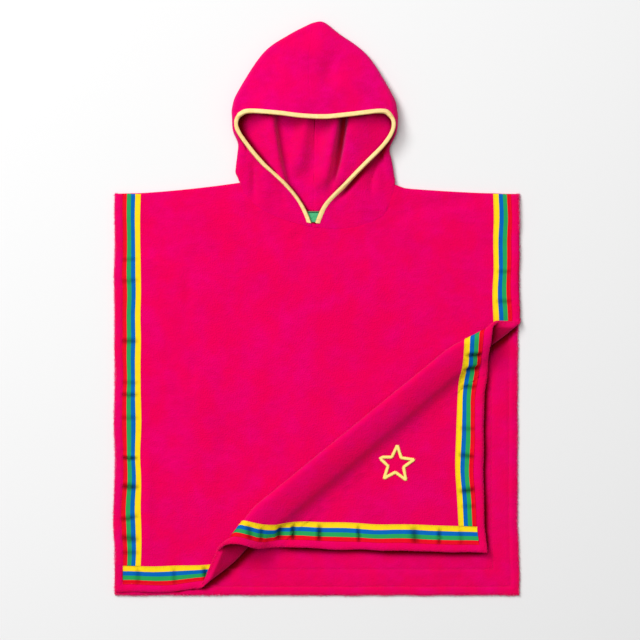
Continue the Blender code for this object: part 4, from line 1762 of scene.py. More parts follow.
        # Painted shade: the pleat's upside-down cloth, away from its edges, and the puckers' dents get
        # crease values that darken their colour.
        within, over = self.leaf_edge
        pressed = self.leaf_shade * self._leaf_share(normal) * smooth((edge - within) / over)
        crease = np.concatenate((self._creased(flat), pressed))
        mesh = wall_mesh("front_panel", Wall(outer, inner, faces, flat, crease))
        panel = add_piece("front_panel", mesh, Finish.PINK_TERRY, "terry", "front")
        sewn = [self._ribbon(number, plan, flat, (place, normal, relief), faces, owners)
                for number, plan in enumerate(self.ribbons, 1)]
        cloths = [panel, *sewn]
        sewn += self._stitching()
        sewn.append(Star().build(self.repeats))
        edges = self._pile_weight(mesh, LOOPS_REACH)
        sewn.append(self.repeats.grow_pile("front_loops", mesh, edges, Finish.PINK_TERRY, "terry",
                                           **LOOPS, Seed=4))
        edges = self._pile_weight(mesh, FUZZ_REACH, False)
        sewn.append(self.repeats.grow_pile("front_fuzz", mesh, edges, Finish.LIT_PINK_FUZZ, "terry",
                                           **FUZZ, Seed=14))
        return cloths

    def _creased(self, flat: Array) -> Array:
        """How deep points of the cut lie in puckers, from 0 to 1."""
        depth = sum(self._dents(plan, *self.ribbon_map(plan, flat).T) for plan in self.ribbons)
        return np.clip(depth / (self.dent * self.deepest_pucker), 0.0, 1.0)

    def _pile_weight(self, mesh: Mesh, reach: float, pushed: bool = True) -> Array:
        """Pile stands along the edges of the cut.

        Args:
            mesh: the panel.
            reach: how far in from the edge it stands.
            pushed: whether it also stands along the hem and the part that is pushed up.

        Returns:
            A weight for each of the mesh's points.
        """
        spots = cut_places(mesh)
        left, right, low = CUT.front_edges(spots)
        side = np.minimum(left, right)
        if pushed:
            return 1 - smooth((np.minimum(side, low) - PILE_INSET) / reach)
        return (1 - smooth((side - PILE_INSET) / reach)) * (spots @ self.pleat.across < self.fuzz_until)

    def _ribbon(self, number: int, plan: RibbonPlan, flat: Array,
                drape: tuple[Array, Array, Array], faces: Faces,
                owners: list[set[int]]) -> Piece:
        """Make one ribbon from the front's own triangles.

        Args:
            number: the number of its outline in the cut.
            plan: the ribbon.
            flat: points of the flat cut.
            drape: their places, normals and relief.
            faces: the front's triangles.
            owners: the outlines that each triangle is in.

        Returns:
            The ribbon.
        """
        place, normal, relief = drape
        spots = self.ribbon_map(plan, flat)
        across = spots[:, 1]
        from_edge = np.minimum(across, 1 - across) * RIBBON_WIDTH
        sewn_down = np.exp(-((from_edge - self.stitch_inset) / self.stitch_spread) ** 2)
        lift = self.ribbon_rise - self.stitch_sink * sewn_down
        lift -= rounded(from_edge, self.ribbon_radius)
        over = place + normal * (relief + lift)[:, None]
        under = place + normal * (relief + self.ribbon_under)[:, None]
        own = [tri for tri, owner in zip(faces, owners) if number in owner]
        # Painted shade in the puckers' dents, from their depth.
        crease = np.tile(self._creased(flat), 2)
        mesh = wall_mesh(plan.name, Wall(over, under, own, spots, crease))
        return add_piece(plan.name, mesh, Finish.STRIPED_RIBBON, "ribbon", plan.node)

    def _line_on(self, line: Line) -> Array:
        """Carry a line of stitches onto the draped front.

        Args:
            line: its points on the flat cut.

        Returns:
            Closely spaced points in place, at the stitches' height.
        """
        flat = np.array([p[:] for p in spaced(line, self.row_step)])
        place, normal = self.lie(flat)
        return place + normal * (self.relief(flat) + self.row_rise)[:, None]

    def _stitching(self) -> list[Piece]:
        """Sew rows of stitches along both edges of the ribbons.

        Returns:
            The outer rows and the inner rows.
        """
        outer, inner = [], []
        for plan in self.ribbons:
            for rows, distance in ((outer, HEM_WIDTH + self.row_inset),
                                   (inner, HEM_WIDTH + RIBBON_WIDTH - self.row_inset)):
                if plan.side == 0:
                    line = self.hem_line(distance, HEM_WIDTH, HEM_WIDTH)
                else:
                    levels = self.levels(CUT.front_hem + HEM_WIDTH + RIBBON_WIDTH)
                    line = CUT.side_line(plan.side, distance, levels)
                rows.append(self._line_on(line))
        sew = self.repeats.sew
        sizes = {"Pitch": 0.0030, "Length": 0.0023, "Thread": 0.00055, "Uneven": 0.3}
        return [sew("ribbon_outer_stitches", outer, Finish.RED_THREAD, "ribbon", **sizes),
                sew("ribbon_inner_stitches", inner, Finish.YELLOW_THREAD, "ribbon", **sizes)]


@dataclass
class Star:
    """A five-pointed star outline in satin stitch on the pushed corner."""

    centre: Pair = (0.1173, -0.2309)
    tips: int = 5
    radius: float = 0.0275
    waist: float = 0.44
    tilt: float = math.radians(-4.0)
    stitch: float = 0.0054
    pitch: float = 0.00050
    lift: float = 0.0012
    spacing: float = 0.0015

    def path(self) -> Array:
        """Draw the star's outline in place.

        Returns:
            Its points, closed.
        """
        corners = []
        for i in range(2 * self.tips + 1):
            angle = self.tilt + math.pi / 2 + i * math.pi / self.tips
            reach = self.radius * (self.waist if i % 2 else 1.0)
            corners.append(Vector((self.centre[0] + reach * math.cos(angle),
                                   self.centre[1] + reach * math.sin(angle))))
        return np.array([(*p, FRONT_TOP + self.lift) for p in spaced(corners, self.spacing)])

    def build(self, repeats: Repeats) -> Piece:
        """Embroider the star with the shared stitches."""
        return repeats.sew("star", [self.path()], Finish.GOLD_SILK, "ribbon", Pitch=self.pitch,
                           Length=self.stitch, Thread=0.0012, Turn=math.pi / 2, Uneven=0.35, Seed=5)


# ---- Back panel and label ----

BACK_CREASES = (
    Crease(170.0, -418.0, 172.0, -380.0, 0.9, 9.0),
    Crease(262.0, -300.0, 300.0, -310.0, 0.7, 8.0),
    Crease(262.0, -180.0, 300.0, -170.0, -0.6, 10.0),
    Crease(60.0, -405.0, 130.0, -400.0, 0.7, 8.0),
)


@dataclass
class BackPanel:
    """The back, flat on the surface, with its raised hem and the rows that hold its ribbon."""

    repeats: Repeats
    fine_grid: Pair = (0.0055, 0.004)
    coarse_grid: Pair = (0.022, 0.03)
    fine_from: Pair = (0.17, -0.33)
    fine_top: float = 0.02
    edge_step: float = 0.0045
    edge_points: int = 130
    hidden_points: int = 60
    lines: tuple[float, ...] = (0.0007, 0.0018, 0.0040, 0.0080, 0.0110, 0.0125, 0.0140, 0.0375,
                                0.0385, 0.0395)
    hem_rise: float = 0.0016
    rows: tuple[float, ...] = (0.0125, 0.0385)
    groove: float = 0.0007
    groove_width: float = 0.0011
    edge_radius: float = 0.0014
    under_radius: float = 0.0010
    shown_from: Pair = (0.20, -0.36)
    shown_over: float = 0.03
    covered_to: float = 0.24
    lumps: float = 0.0005
    lump_size: float = 0.020
    loose_reach: float = 0.030
    unevenness: float = 0.0010
    uneven_size: float = 0.035
    side_bow: float = 0.0024
    bow_ends: Pair = (0.01, -0.40)
    bow_fades: Pair = (0.06, 0.08)
    bow_from: float = 0.20
    row_end: float = -0.02
    row_step: float = 0.003
    row_rise: float = 0.0001

    @staticmethod
    def _loose(spacing: float, inset: float) -> list[Pair]:
        """A grid of places on the cut that starts inside its lower left corner."""
        return [(x, y) for y in np.arange(CUT.back_hem + inset, CUT.shoulder, spacing)
                for x in np.arange(inset - CUT.half, CUT.half, spacing)]

    def divide(self) -> tuple[Array, Faces]:
        """Cut the back into triangles, fine where it shows.

        Returns:
            The points and the triangles.
        """
        count = self.edge_points
        right = [Vector((CUT.half, y)) for y in steps(CUT.back_hem, CUT.shoulder, count)]
        cut = CutMesh(CUT.outline(CUT.back_hem, CUT.back_drop, right, self.edge_step))
        for inset in self.lines:
            low, high, side = CUT.back_hem + inset, CUT.shoulder - inset, CUT.half - inset
            cut.add_line([Vector((side, y)) for y in steps(low, high, count)])
            cut.add_line([Vector((x, low)) for x in steps(-side, side, count)])
            cut.add_line([Vector((-side, y)) for y in steps(low, high, self.hidden_points)])
        side, low = self.fine_from
        fine = [(x, y) for x, y in self._loose(*self.fine_grid)
                if x > side and y < self.fine_top or y < low]
        cut.add_points([Vector(p) for p in fine + self._loose(*self.coarse_grid)])
        points, faces, _ = cut.divide()
        return points, faces

    def relief(self, flat: Array) -> Array:
        """Height of the hem, the rows of stitches and the creases.

        Args:
            flat: points of the flat cut.

        Returns:
            A height for each point.
        """
        edge = CUT.back_edge(flat)
        height = self.hem_rise * hem_swell(edge, self.rows[0])
        for row in self.rows:
            height -= self.groove * np.exp(-((edge - row) / self.groove_width) ** 2)
        height -= rounded(edge, self.edge_radius)
        side, low = self.shown_from
        shown = smooth((flat[:, 0] - side) / self.shown_over)
        shown += smooth((low - flat[:, 1]) / self.shown_over)
        height += crease_height(BACK_CREASES, flat)
        height += self.lumps * wander(flat, self.lump_size, 5.0) * np.clip(shown, 0, 1)
        return height

    def build(self) -> list[Piece]:
        """Make the panel, its stitches and its label.

        Returns:
            The panel.
        """
        flat, faces = self.divide()
        top = np.minimum(TERRY + self.relief(flat), np.where(self._covered(flat), TERRY, 1.0))
        places = self.lie(flat)
        outer = np.column_stack((places, top))
        inner = np.column_stack((places, rounded(CUT.back_edge(flat), self.under_radius)))
        mesh = wall_mesh("back_panel", Wall(outer, inner, faces, flat))
        panel = add_piece("back_panel", mesh, Finish.PINK_TERRY, "terry", "back")
        sewn = [self._stitches(), *Label(self.repeats).build()]
        edges = self._pile_weight(mesh, LOOPS_REACH)
        sewn.append(self.repeats.grow_pile("back_loops", mesh, edges, Finish.PINK_TERRY, "terry",
                                           **LOOPS, Seed=9))
        edges = self._pile_weight(mesh, FUZZ_REACH)
        sewn.append(self.repeats.grow_pile("back_fuzz", mesh, edges, Finish.LIT_PINK_FUZZ, "terry",
                                           **FUZZ, Seed=19))
        return [panel]

    def lie(self, flat: Array) -> Array:
        """Move points of the flat cut to its uneven edges, drawn in on the right by the ribbon.

        Args:
            flat: points of the flat cut.

        Returns:
            Their places.
        """
        places = flat.copy()
        loose = 1 - smooth(CUT.back_edge(flat) / self.loose_reach)
        for axis in (0, 1):
            places[:, axis] += self.unevenness * loose * wander(flat, self.uneven_size, 30.0 + axis)
        bow = smooth((self.bow_ends[0] - flat[:, 1]) / self.bow_fades[0])
        bow *= smooth((flat[:, 1] - self.bow_ends[1]) / self.bow_fades[1])
        places[:, 0] -= self.side_bow * bow * smooth((flat[:, 0] - self.bow_from) / self.bow_fades[1])
        return places

    def _covered(self, flat: Array) -> Array:
        """Whether the front lies flat on this point of the back."""
        x, y = flat.T
        return (y > CUT.front_hem) & (x < self.covered_to) & (y > self.shown_from[1])

    @staticmethod
    def _pile_weight(mesh: Mesh, reach: float) -> Array:
        """Pile stands along the side and lower edges, as far in as a reach."""
        return 1 - smooth((CUT.back_edge(cut_places(mesh)) - PILE_INSET) / reach)

    def _stitches(self) -> Piece:
        """Sew rows of stitches along the right side and the hem, where they show.

        Returns:
            The rows.
        """
        lines = []
        for row in self.rows:
            side, low = CUT.half - row, CUT.back_hem + row
            path = [Vector((-side, low)), Vector((side, low)), Vector((side, self.row_end))]
            flat = np.array([p[:] for p in spaced(path, self.row_step)])
            height = TERRY + self.relief(flat) + self.row_rise
            lines.append(np.column_stack((self.lie(flat), height)))
        return self.repeats.sew("back_stitches", lines, Finish.PINK_THREAD, "terry", Pitch=0.0030,
                                Length=0.0023, Thread=0.0006, Uneven=0.4, Seed=3)


@dataclass
class Label:
    """Small plain woven label inside the back neck."""

    repeats: Repeats
    x: float = -0.0065
    width: float = 0.0380
    length: float = 0.0160
    thickness: float = 0.0005
    thread_inset: float = 0.0012
    rise: float = 0.0022
    lift: float = 0.0004
    wave_size: float = 0.009
    columns: int = 20
    rows: int = 10

    def build(self) -> list[Piece]:
        """Make the label and the dark line along its top.

        Returns:
            Both pieces.
        """
        top = CUT.neck_point(1.5 * math.pi, CUT.back_drop).y - 2 * SEAM_GAP
        xs = steps(self.x - self.width / 2, self.x + self.width / 2, self.columns)
        ys = steps(top - self.length, top, self.rows)
        flat = np.array([(x, y) for y in ys for x in xs])
        low = TERRY + self.lift + self.lift * (1 + wander(flat, self.wave_size, 2.0))
        over = np.column_stack((flat, low + self.thickness))
        under = np.column_stack((flat, low))
        faces = grid_faces(self.rows, self.columns)
        mesh = wall_mesh("neck_label_woven", Wall(over, under, faces, flat))
        woven = add_piece("neck_label_woven", mesh, Finish.GREEN_LABEL, "label", "neck_label")
        # A dark line along the label's top, laid with stitch shapes in a dark colour.
        line = np.array([(x, top - self.thread_inset, TERRY + self.rise) for x in xs])
        thread = self.repeats.sew("label_dark_line", [line], Finish.DARK_LINE, "label", Pitch=0.0015,
                                  Length=0.0018, Thread=0.0016, Uneven=0.1, Seed=6)
        return [woven, thread]


# ---- Hood ----

TAPE_COLUMNS = 6


class HoodRow(NamedTuple):
    """One row across half the hood, from its face edge over and under to the centre back seam."""

    face_x: float
    face_y: float
    face_z: float
    dome: float
    side_z: float
    fold_x: float
    fold_y: float
    seam_y: float


class SoftFold(NamedTuple):
    """A fold of the hood's cloth: its line, its height (negative for a trough) and its two widths.

    The line bows sideways in its middle, and the fold's right side spreads towards its low end.
    """

    top_x: float
    top_y: float
    low_x: float
    low_y: float
    height: float
    left: float
    right: float
    bow: float = 0.0
    spread: float = 1.0
    rise: float = 0.0


HOOD_LEFT = (
    HoodRow(-7.4, 123.8, 7.6, 0.0, 6.8, -110.2, 189.0, 146.8),
    HoodRow(-22.0, 154.9, 11.5, -1.0, 9.0, -118.9, 200.0, 167.0),
    HoodRow(-43.5, 182.2, 15.5, -2.0, 10.5, -118.9, 211.0, 185.0),
    HoodRow(-79.0, 214.6, 19.0, -2.5, 12.0, -116.9, 228.0, 213.0),
    HoodRow(-105.0, 245.3, 22.5, -1.5, 15.0, -115.8, 245.0, 241.0),
    HoodRow(-118.0, 266.1, 25.5, 0.0, 20.0, -123.2, 263.6, 263.5),
    HoodRow(-118.8, 279.2, 27.5, 0.0, 24.0, -124.5, 280.7, 283.0),
    HoodRow(-112.0, 286.2, 29.0, 0.0, 25.0, -124.6, 297.0, 300.5),
    HoodRow(-98.2, 290.2, 30.5, 2.0, 22.0, -115.8, 321.5, 321.5),
    HoodRow(-57.8, 287.3, 33.0, 7.0, 15.0, -78.7, 378.0, 351.0),
    HoodRow(-28.2, 283.6, 34.0, 9.0, 13.0, -40.1, 405.4, 372.0),
    HoodRow(-4.6, 281.8, 34.5, 9.0, 12.0, -6.7, 422.5, 390.0),
)
HOOD_RIGHT = (
    HoodRow(-3.6, 123.2, 7.6, 0.0, 6.8, 112.5, 186.5, 146.8),
    HoodRow(11.5, 154.9, 12.5, -2.0, 8.5, 113.2, 193.5, 167.0),
    HoodRow(40.5, 184.5, 17.5, -4.0, 10.0, 112.0, 205.0, 185.0),
    HoodRow(72.3, 216.4, 22.0, -5.0, 11.5, 109.3, 220.5, 213.0),
    HoodRow(97.6, 241.6, 25.0, -3.0, 15.0, 106.4, 238.0, 241.0),
    HoodRow(110.6, 260.9, 27.0, 0.0, 20.0, 116.2, 259.9, 263.5),
    HoodRow(113.2, 276.2, 28.5, 0.0, 24.0, 118.6, 278.5, 283.0),
    HoodRow(106.5, 286.0, 29.5, 0.0, 25.0, 117.3, 294.1, 300.5),
    HoodRow(93.8, 290.2, 30.5, 2.0, 22.0, 110.9, 315.5, 321.5),
    HoodRow(52.7, 285.6, 33.0, 7.0, 15.0, 74.8, 373.5, 351.0),
    HoodRow(21.1, 282.1, 34.0, 9.0, 13.0, 32.3, 406.4, 372.0),
    HoodRow(7.4, 281.6, 34.3, 9.0, 12.5, 9.2, 423.6, 382.0),
    HoodRow(-4.6, 281.8, 34.5, 9.0, 12.0, -6.7, 422.5, 390.0),
)
INNER_FOLDS = (
    SoftFold(-66.5, 283.0, -42.5, 165.0, 12.0, 24.0, 4.0, -3.0, 1.0, 0.4),
    SoftFold(-16.0, 283.0, -30.0, 190.0, 8.5, 12.0, 13.0, 0.0, 1.0, 0.6),
    SoftFold(29.0, 283.0, 6.0, 168.0, 11.5, 13.0, 5.0, 1.0, 2.0, 0.5),
    SoftFold(49.0, 283.0, 25.0, 168.0, 11.0, 3.8, 40.0, 4.0, 1.0, 0.5),
)
SIDE_FOLDS = (
    SoftFold(-94.0, 226.0, -92.0, 150.0, -5.2, 6.0, 4.5),
    SoftFold(77.0, 222.0, 20.0, 148.0, -7.2, 3.5, 7.0),
    SoftFold(-76.0, 228.0, -72.0, 150.0, 2.2, 9.0, 7.0),
    SoftFold(82.5, 224.0, 82.0, 156.0, -3.6, 6.0, 3.0),
    SoftFold(91.0, 232.0, 90.0, 160.0, 2.2, 4.0, 8.0),
    SoftFold(-56.0, 205.0, -46.0, 140.0, -3.0, 7.0, 6.0),
)
CROWN_FOLDS = (
    SoftFold(-112.0, 306.0, -70.0, 332.0, -1.6, 5.0, 7.0),
    SoftFold(24.0, 388.0, 17.0, 318.0, -5.5, 15.0, 12.0),
    SoftFold(-46.0, 380.0, -52.0, 310.0, 1.4, 14.0, 10.0),
    SoftFold(60.0, 350.0, 70.0, 300.0, 1.4, 12.0, 9.0),
)


def spline_value(values: Sequence[float], place: float) -> float:
    """Read a smooth curve through evenly spaced values.

    Args:
        values: the values.
        place: 0 at the first to 1 at the last.

    Returns:
        The curve's value there.
    """
    spot = place * (len(values) - 1)
    i = min(int(spot), len(values) - 2)
    f = spot - i
    before = values[i - 1] if i > 0 else 2 * values[0] - values[1]
    after = values[i + 2] if i + 2 < len(values) else 2 * values[-1] - values[-2]
    here, there = values[i], values[i + 1]
    return here + 0.5 * f * (there - before + f * (2 * before - 5 * here + 4 * there - after
                                                   + f * (3 * (here - there) + after - before)))


@dataclass
class HoodHalf:
    """One half of the hood: a wall from the face edge round to the centre back seam."""

    name: str
    node: str
    table: tuple[HoodRow, ...]
    side: int
    rows: int = 74
    fine_rows: tuple[float, ...] = (0.004, 0.008, 0.018, 0.024)
    crown_rows: int = 8
    crown_step: float = 0.0025
    upper_points: int = 61
    fold_points: int = 31
    floor_points: int = 81
    top_columns: int = 26
    fold_columns: int = 12
    floor_columns: int = 48
    fine_columns: tuple[float, ...] = (0.0006, 0.0012, 0.0019, 0.0028, 0.0040)
    fold_radius: float = 0.008
    fold_share: float = 0.80
    neck_radius: float = 0.0022
    neck_fade: float = 0.13
    side_inset: float = 0.0008
    low_inset: float = 0.0001
    bow_fade: float = 0.28
    seam_bow: float = 0.0065
    seam_bow_from: float = 0.75
    seam_x: float = -0.0045
    fades: Pair = (0.12, 0.2)
    tape_reach: float = 0.0055
    fine_reach: float = 0.0055
    tuck: float = 0.0022
    tuck_width: float = 0.008
    lumps: float = 0.00045
    lump_size: float = 0.020
    crown_groove: float = 0.0008
    back_groove: float = 0.0003
    groove_width: float = 0.0014
    seam_radius: float = 0.0022
    seam_sink: float = 0.0009
    sink_width: float = 0.009
    seam_ridge: float = 0.0021
    faint_ridge: float = 0.2
    crown_ridge: Pair = (0.0042, 0.0024)
    back_ridge: Pair = (0.0038, 0.0026)
    back_share: float = 0.25
    inner_groove: float = 0.0026
    inner_share: float = 0.45
    fold_fade: float = 0.030
    past_top: float = -0.3

    def soft_height(self, folds: Iterable[SoftFold], x: float, y: float, beyond: float) -> float:
        """Height of soft folds, each fading in at its low end and out past its top.

        Args:
            folds: the folds.
            x: place across the body.
            y: place up the body.
            beyond: how far past its top a fold reaches.

        Returns:
            The height there.
        """
        height = 0.0
        for fold in folds:
            share = (fold.top_y * MM - y) / ((fold.top_y - fold.low_y) * MM)
            share = min(max(share, self.past_top), 1.0)
            down = max(share, 0.0)
            line = (mix(fold.top_x, fold.low_x, share) + fold.bow * 4 * down * (1 - down)) * MM
            fade = smooth((y - fold.low_y * MM) / self.fold_fade)
            fade *= smooth((fold.top_y * MM + beyond - y) / self.fold_fade)
            fade *= 1 + fold.rise * (1 - down)
            width = fold.left if x < line else fold.right * mix(1.0, fold.spread, down)
            height += fold.height * MM * fade * math.exp(-((x - line) / (width * MM)) ** 2)
        return float(height)

    def neck_bow(self, drop: float, end_x: float, share: float) -> Vector:
        """How far the neck edge bends away from the straight line between its ends.

        Args:
            drop: depth of the neck.
            end_x: where the line starts, across the body.
            share: 0 at its start to 1 at the shoulder.

        Returns:
            The way from the line to the edge.
        """
        end = math.pi if self.side < 0 else 2 * math.pi
        start = math.pi + math.acos(-(end_x - CUT.neck_x) / (CUT.neck_half - self.side_inset))
        here, first, last = (CUT.neck_point(angle, drop, self.side_inset, self.low_inset)
                             for angle in (mix(start, end, share), start, end))
        return here - mix(first, last, share)

    def section(self, place: float) -> tuple[list[Vector], int, int]:
        """Points across the half at one place, and where its fold starts and ends.

        Args:
            place: 0 at the neck to 1 at the crown seam.

        Returns:
            The points of the cloth's middle, and two indices into them.
        """
        row = HoodRow(*(spline_value(column, place) * MM for column in zip(*self.table)))
        face, fold = Vector((row.face_x, row.face_y)), Vector((row.fold_x, row.fold_y))
        seam = Vector((self.seam_x, row.seam_y))
        fading = float(smooth(place / self.neck_fade))
        inward = mix(Vector((0, -1)), (seam - fold).normalized(), fading).normalized()
        radius = min(mix(self.neck_radius, self.fold_radius, fading),
                     self.fold_share * (face - fold).length)
        centre = fold + inward * radius
        bow = max(0.0, 1 - place / self.bow_fade) ** 2
        sway = self.seam_bow * float(smooth((place - self.seam_bow_from) / (1 - self.seam_bow_from)))
        low = TERRY / 2
        rise, fall = self.fades
        neck_x = self.table[0].face_x * MM
        points = []
        for w in steps(0.0, 1.0, self.upper_points)[:-1]:
            spot = mix(face, centre, w) + self.neck_bow(CUT.front_drop, neck_x, w) * bow
            spot.x -= sway * 4 * w * (1 - w)
            z = mix(row.side_z, row.face_z, (1 - w) ** 2) + row.dome * 4 * w * (1 - w)
            ends = float(smooth(w / rise) * smooth((1 - w) / fall))
            z += self.soft_height(SIDE_FOLDS, *spot, 0.0) * ends
            z += self.soft_height(CROWN_FOLDS, *spot, 0.0) * ends
            points.append(Vector((*spot, z)))
        fold_start = len(points)
        half_height = (row.side_z - low) / 2
        for angle in steps(math.pi / 2, -math.pi / 2, self.fold_points):
            spot = centre - inward * radius * math.cos(angle)
            points.append(Vector((*spot, low + half_height * (1 + math.sin(angle)))))
        fold_end = len(points) - 1
        for w in steps(0.0, 1.0, self.floor_points)[1:]:
            spot = mix(centre, seam, w) + self.neck_bow(CUT.back_drop, self.seam_x, 1 - w) * bow
            lift = self.soft_height(INNER_FOLDS, *spot, 2 * self.fold_fade)
            points.append(Vector((*spot, low + lift)))
        return points, fold_start, fold_end

    def columns(self, place: float) -> list[Vector]:
        """Spread points over a section: tape, upper layer, fold and back layer.

        Args:
            place: 0 at the neck to 1 at the crown seam.

        Returns:
            The points, as many in every section.
        """
        points, fold_start, fold_end = self.section(place)
        runs = np.concatenate(([0.0], np.cumsum([(b - a).length for a, b in zip(points, points[1:])])))
        upper_end = max(runs[fold_start], self.tape_reach + 2 * MM)
        floor_start = max(runs[fold_end], upper_end + MM)
        lengths = steps(0.0, self.tape_reach, TAPE_COLUMNS)[:-1]
        lengths += steps(self.tape_reach, upper_end, self.top_columns + 1)
        lengths += steps(upper_end, floor_start, self.fold_columns + 1)[1:]
        lengths += steps(floor_start, runs[-1] - self.fine_reach, self.floor_columns + 1)[1:]
        lengths += [runs[-1] - away for away in self.fine_columns[::-1]] + [runs[-1]]
        places = np.array([p[:] for p in points])
        return [Vector(np.array([np.interp(length, runs, places[:, k]) for k in range(3)]))
                for length in lengths]

    def grid(self) -> tuple[Array, Array]:
        """Middle surface of the half and its normals, which stay level along the centre seam.

        Returns:
            Two arrays of rows by columns by three numbers.
        """
        crown = (1 - self.crown_step * i for i in range(1, self.crown_rows + 1))
        places = sorted({*steps(0.0, 1.0, self.rows), *self.fine_rows, *crown})
        grid = np.array([[p[:] for p in self.columns(place)] for place in places])
        neck = np.linalg.norm(grid - grid[:1], axis=2)[:, :, None]
        outwards = np.column_stack(((grid[0, :, 0] - CUT.neck_x) / CUT.neck_half ** 2,
                                    (grid[0, :, 1] - CUT.neck_y) / CUT.front_drop ** 2,
                                    np.zeros(grid.shape[1])))
        outwards /= np.linalg.norm(outwards, axis=1, keepdims=True)
        grid += outwards * self.tuck * np.exp(-(neck / self.tuck_width) ** 2)
        up = np.gradient(grid, axis=0)
        over = np.gradient(grid, axis=1)
        normal = np.cross(over, up) * -self.side
        normal[-1, :, 0] = 0.0
        normal[:, -1, 0] = 0.0
        normal /= np.linalg.norm(normal, axis=2, keepdims=True)
        return grid, normal

    def relief(self, grid: Array) -> Array:
        """Grooves of the seams, the ridge of their turned-in edge and faint lumps.

        Args:
            grid: the middle surface.

        Returns:
            A height for each of its points.
        """
        crown, neck, back = (np.linalg.norm(grid - seam, axis=2)
                             for seam in (grid[-1:], grid[:1], grid[:, -1:]))
        lumps = wander(grid.reshape(-1, 3)[:, :2], self.lump_size, 4.0).reshape(crown.shape)
        groove = self.crown_groove * np.exp(-(crown / self.groove_width) ** 2)
        height = self.lumps * lumps
        height -= groove + self.back_groove * np.exp(-(back / self.groove_width) ** 2)
        ridge = self.seam_ridge if self.side > 0 else self.faint_ridge * self.seam_ridge
        inset, width = self.crown_ridge
        height += ridge * np.exp(-((crown - inset) / width) ** 2)
        inset, width = self.back_ridge
        height += self.back_share * ridge * np.exp(-((back - inset) / width) ** 2)
        height -= rounded(neck, self.seam_radius) * seam_depth(grid[:, :, 0])
        height -= self.seam_sink * np.exp(-(neck / self.sink_width) ** 2)
        return height

    def build(self) -> tuple[Array, Array, Piece]:
        """Make the half.

        Returns:
            Its middle surface, its normals and the piece.
        """
        grid, normal = self.grid()
        flat = grid.reshape(-1, 3)
        lean = normal.reshape(-1, 3)
        relief = self.relief(grid).ravel()
        inside = TERRY / 2 - np.clip(-relief, 0, self.inner_groove) * self.inner_share
        outer = flat + lean * (TERRY / 2 + relief)[:, None]
        inner = flat - lean * inside[:, None]
        outer[:, 2] = np.maximum(outer[:, 2], 0.0)
        faces = [face[::-self.side] for face in grid_faces(*grid.shape[:2])]
        mesh = wall_mesh(self.name, Wall(outer, inner, faces, flat[:, :2]))
        piece = add_piece(self.name, mesh, Finish.LIT_HOOD_TERRY, "terry", self.node)
        return grid, normal, piece


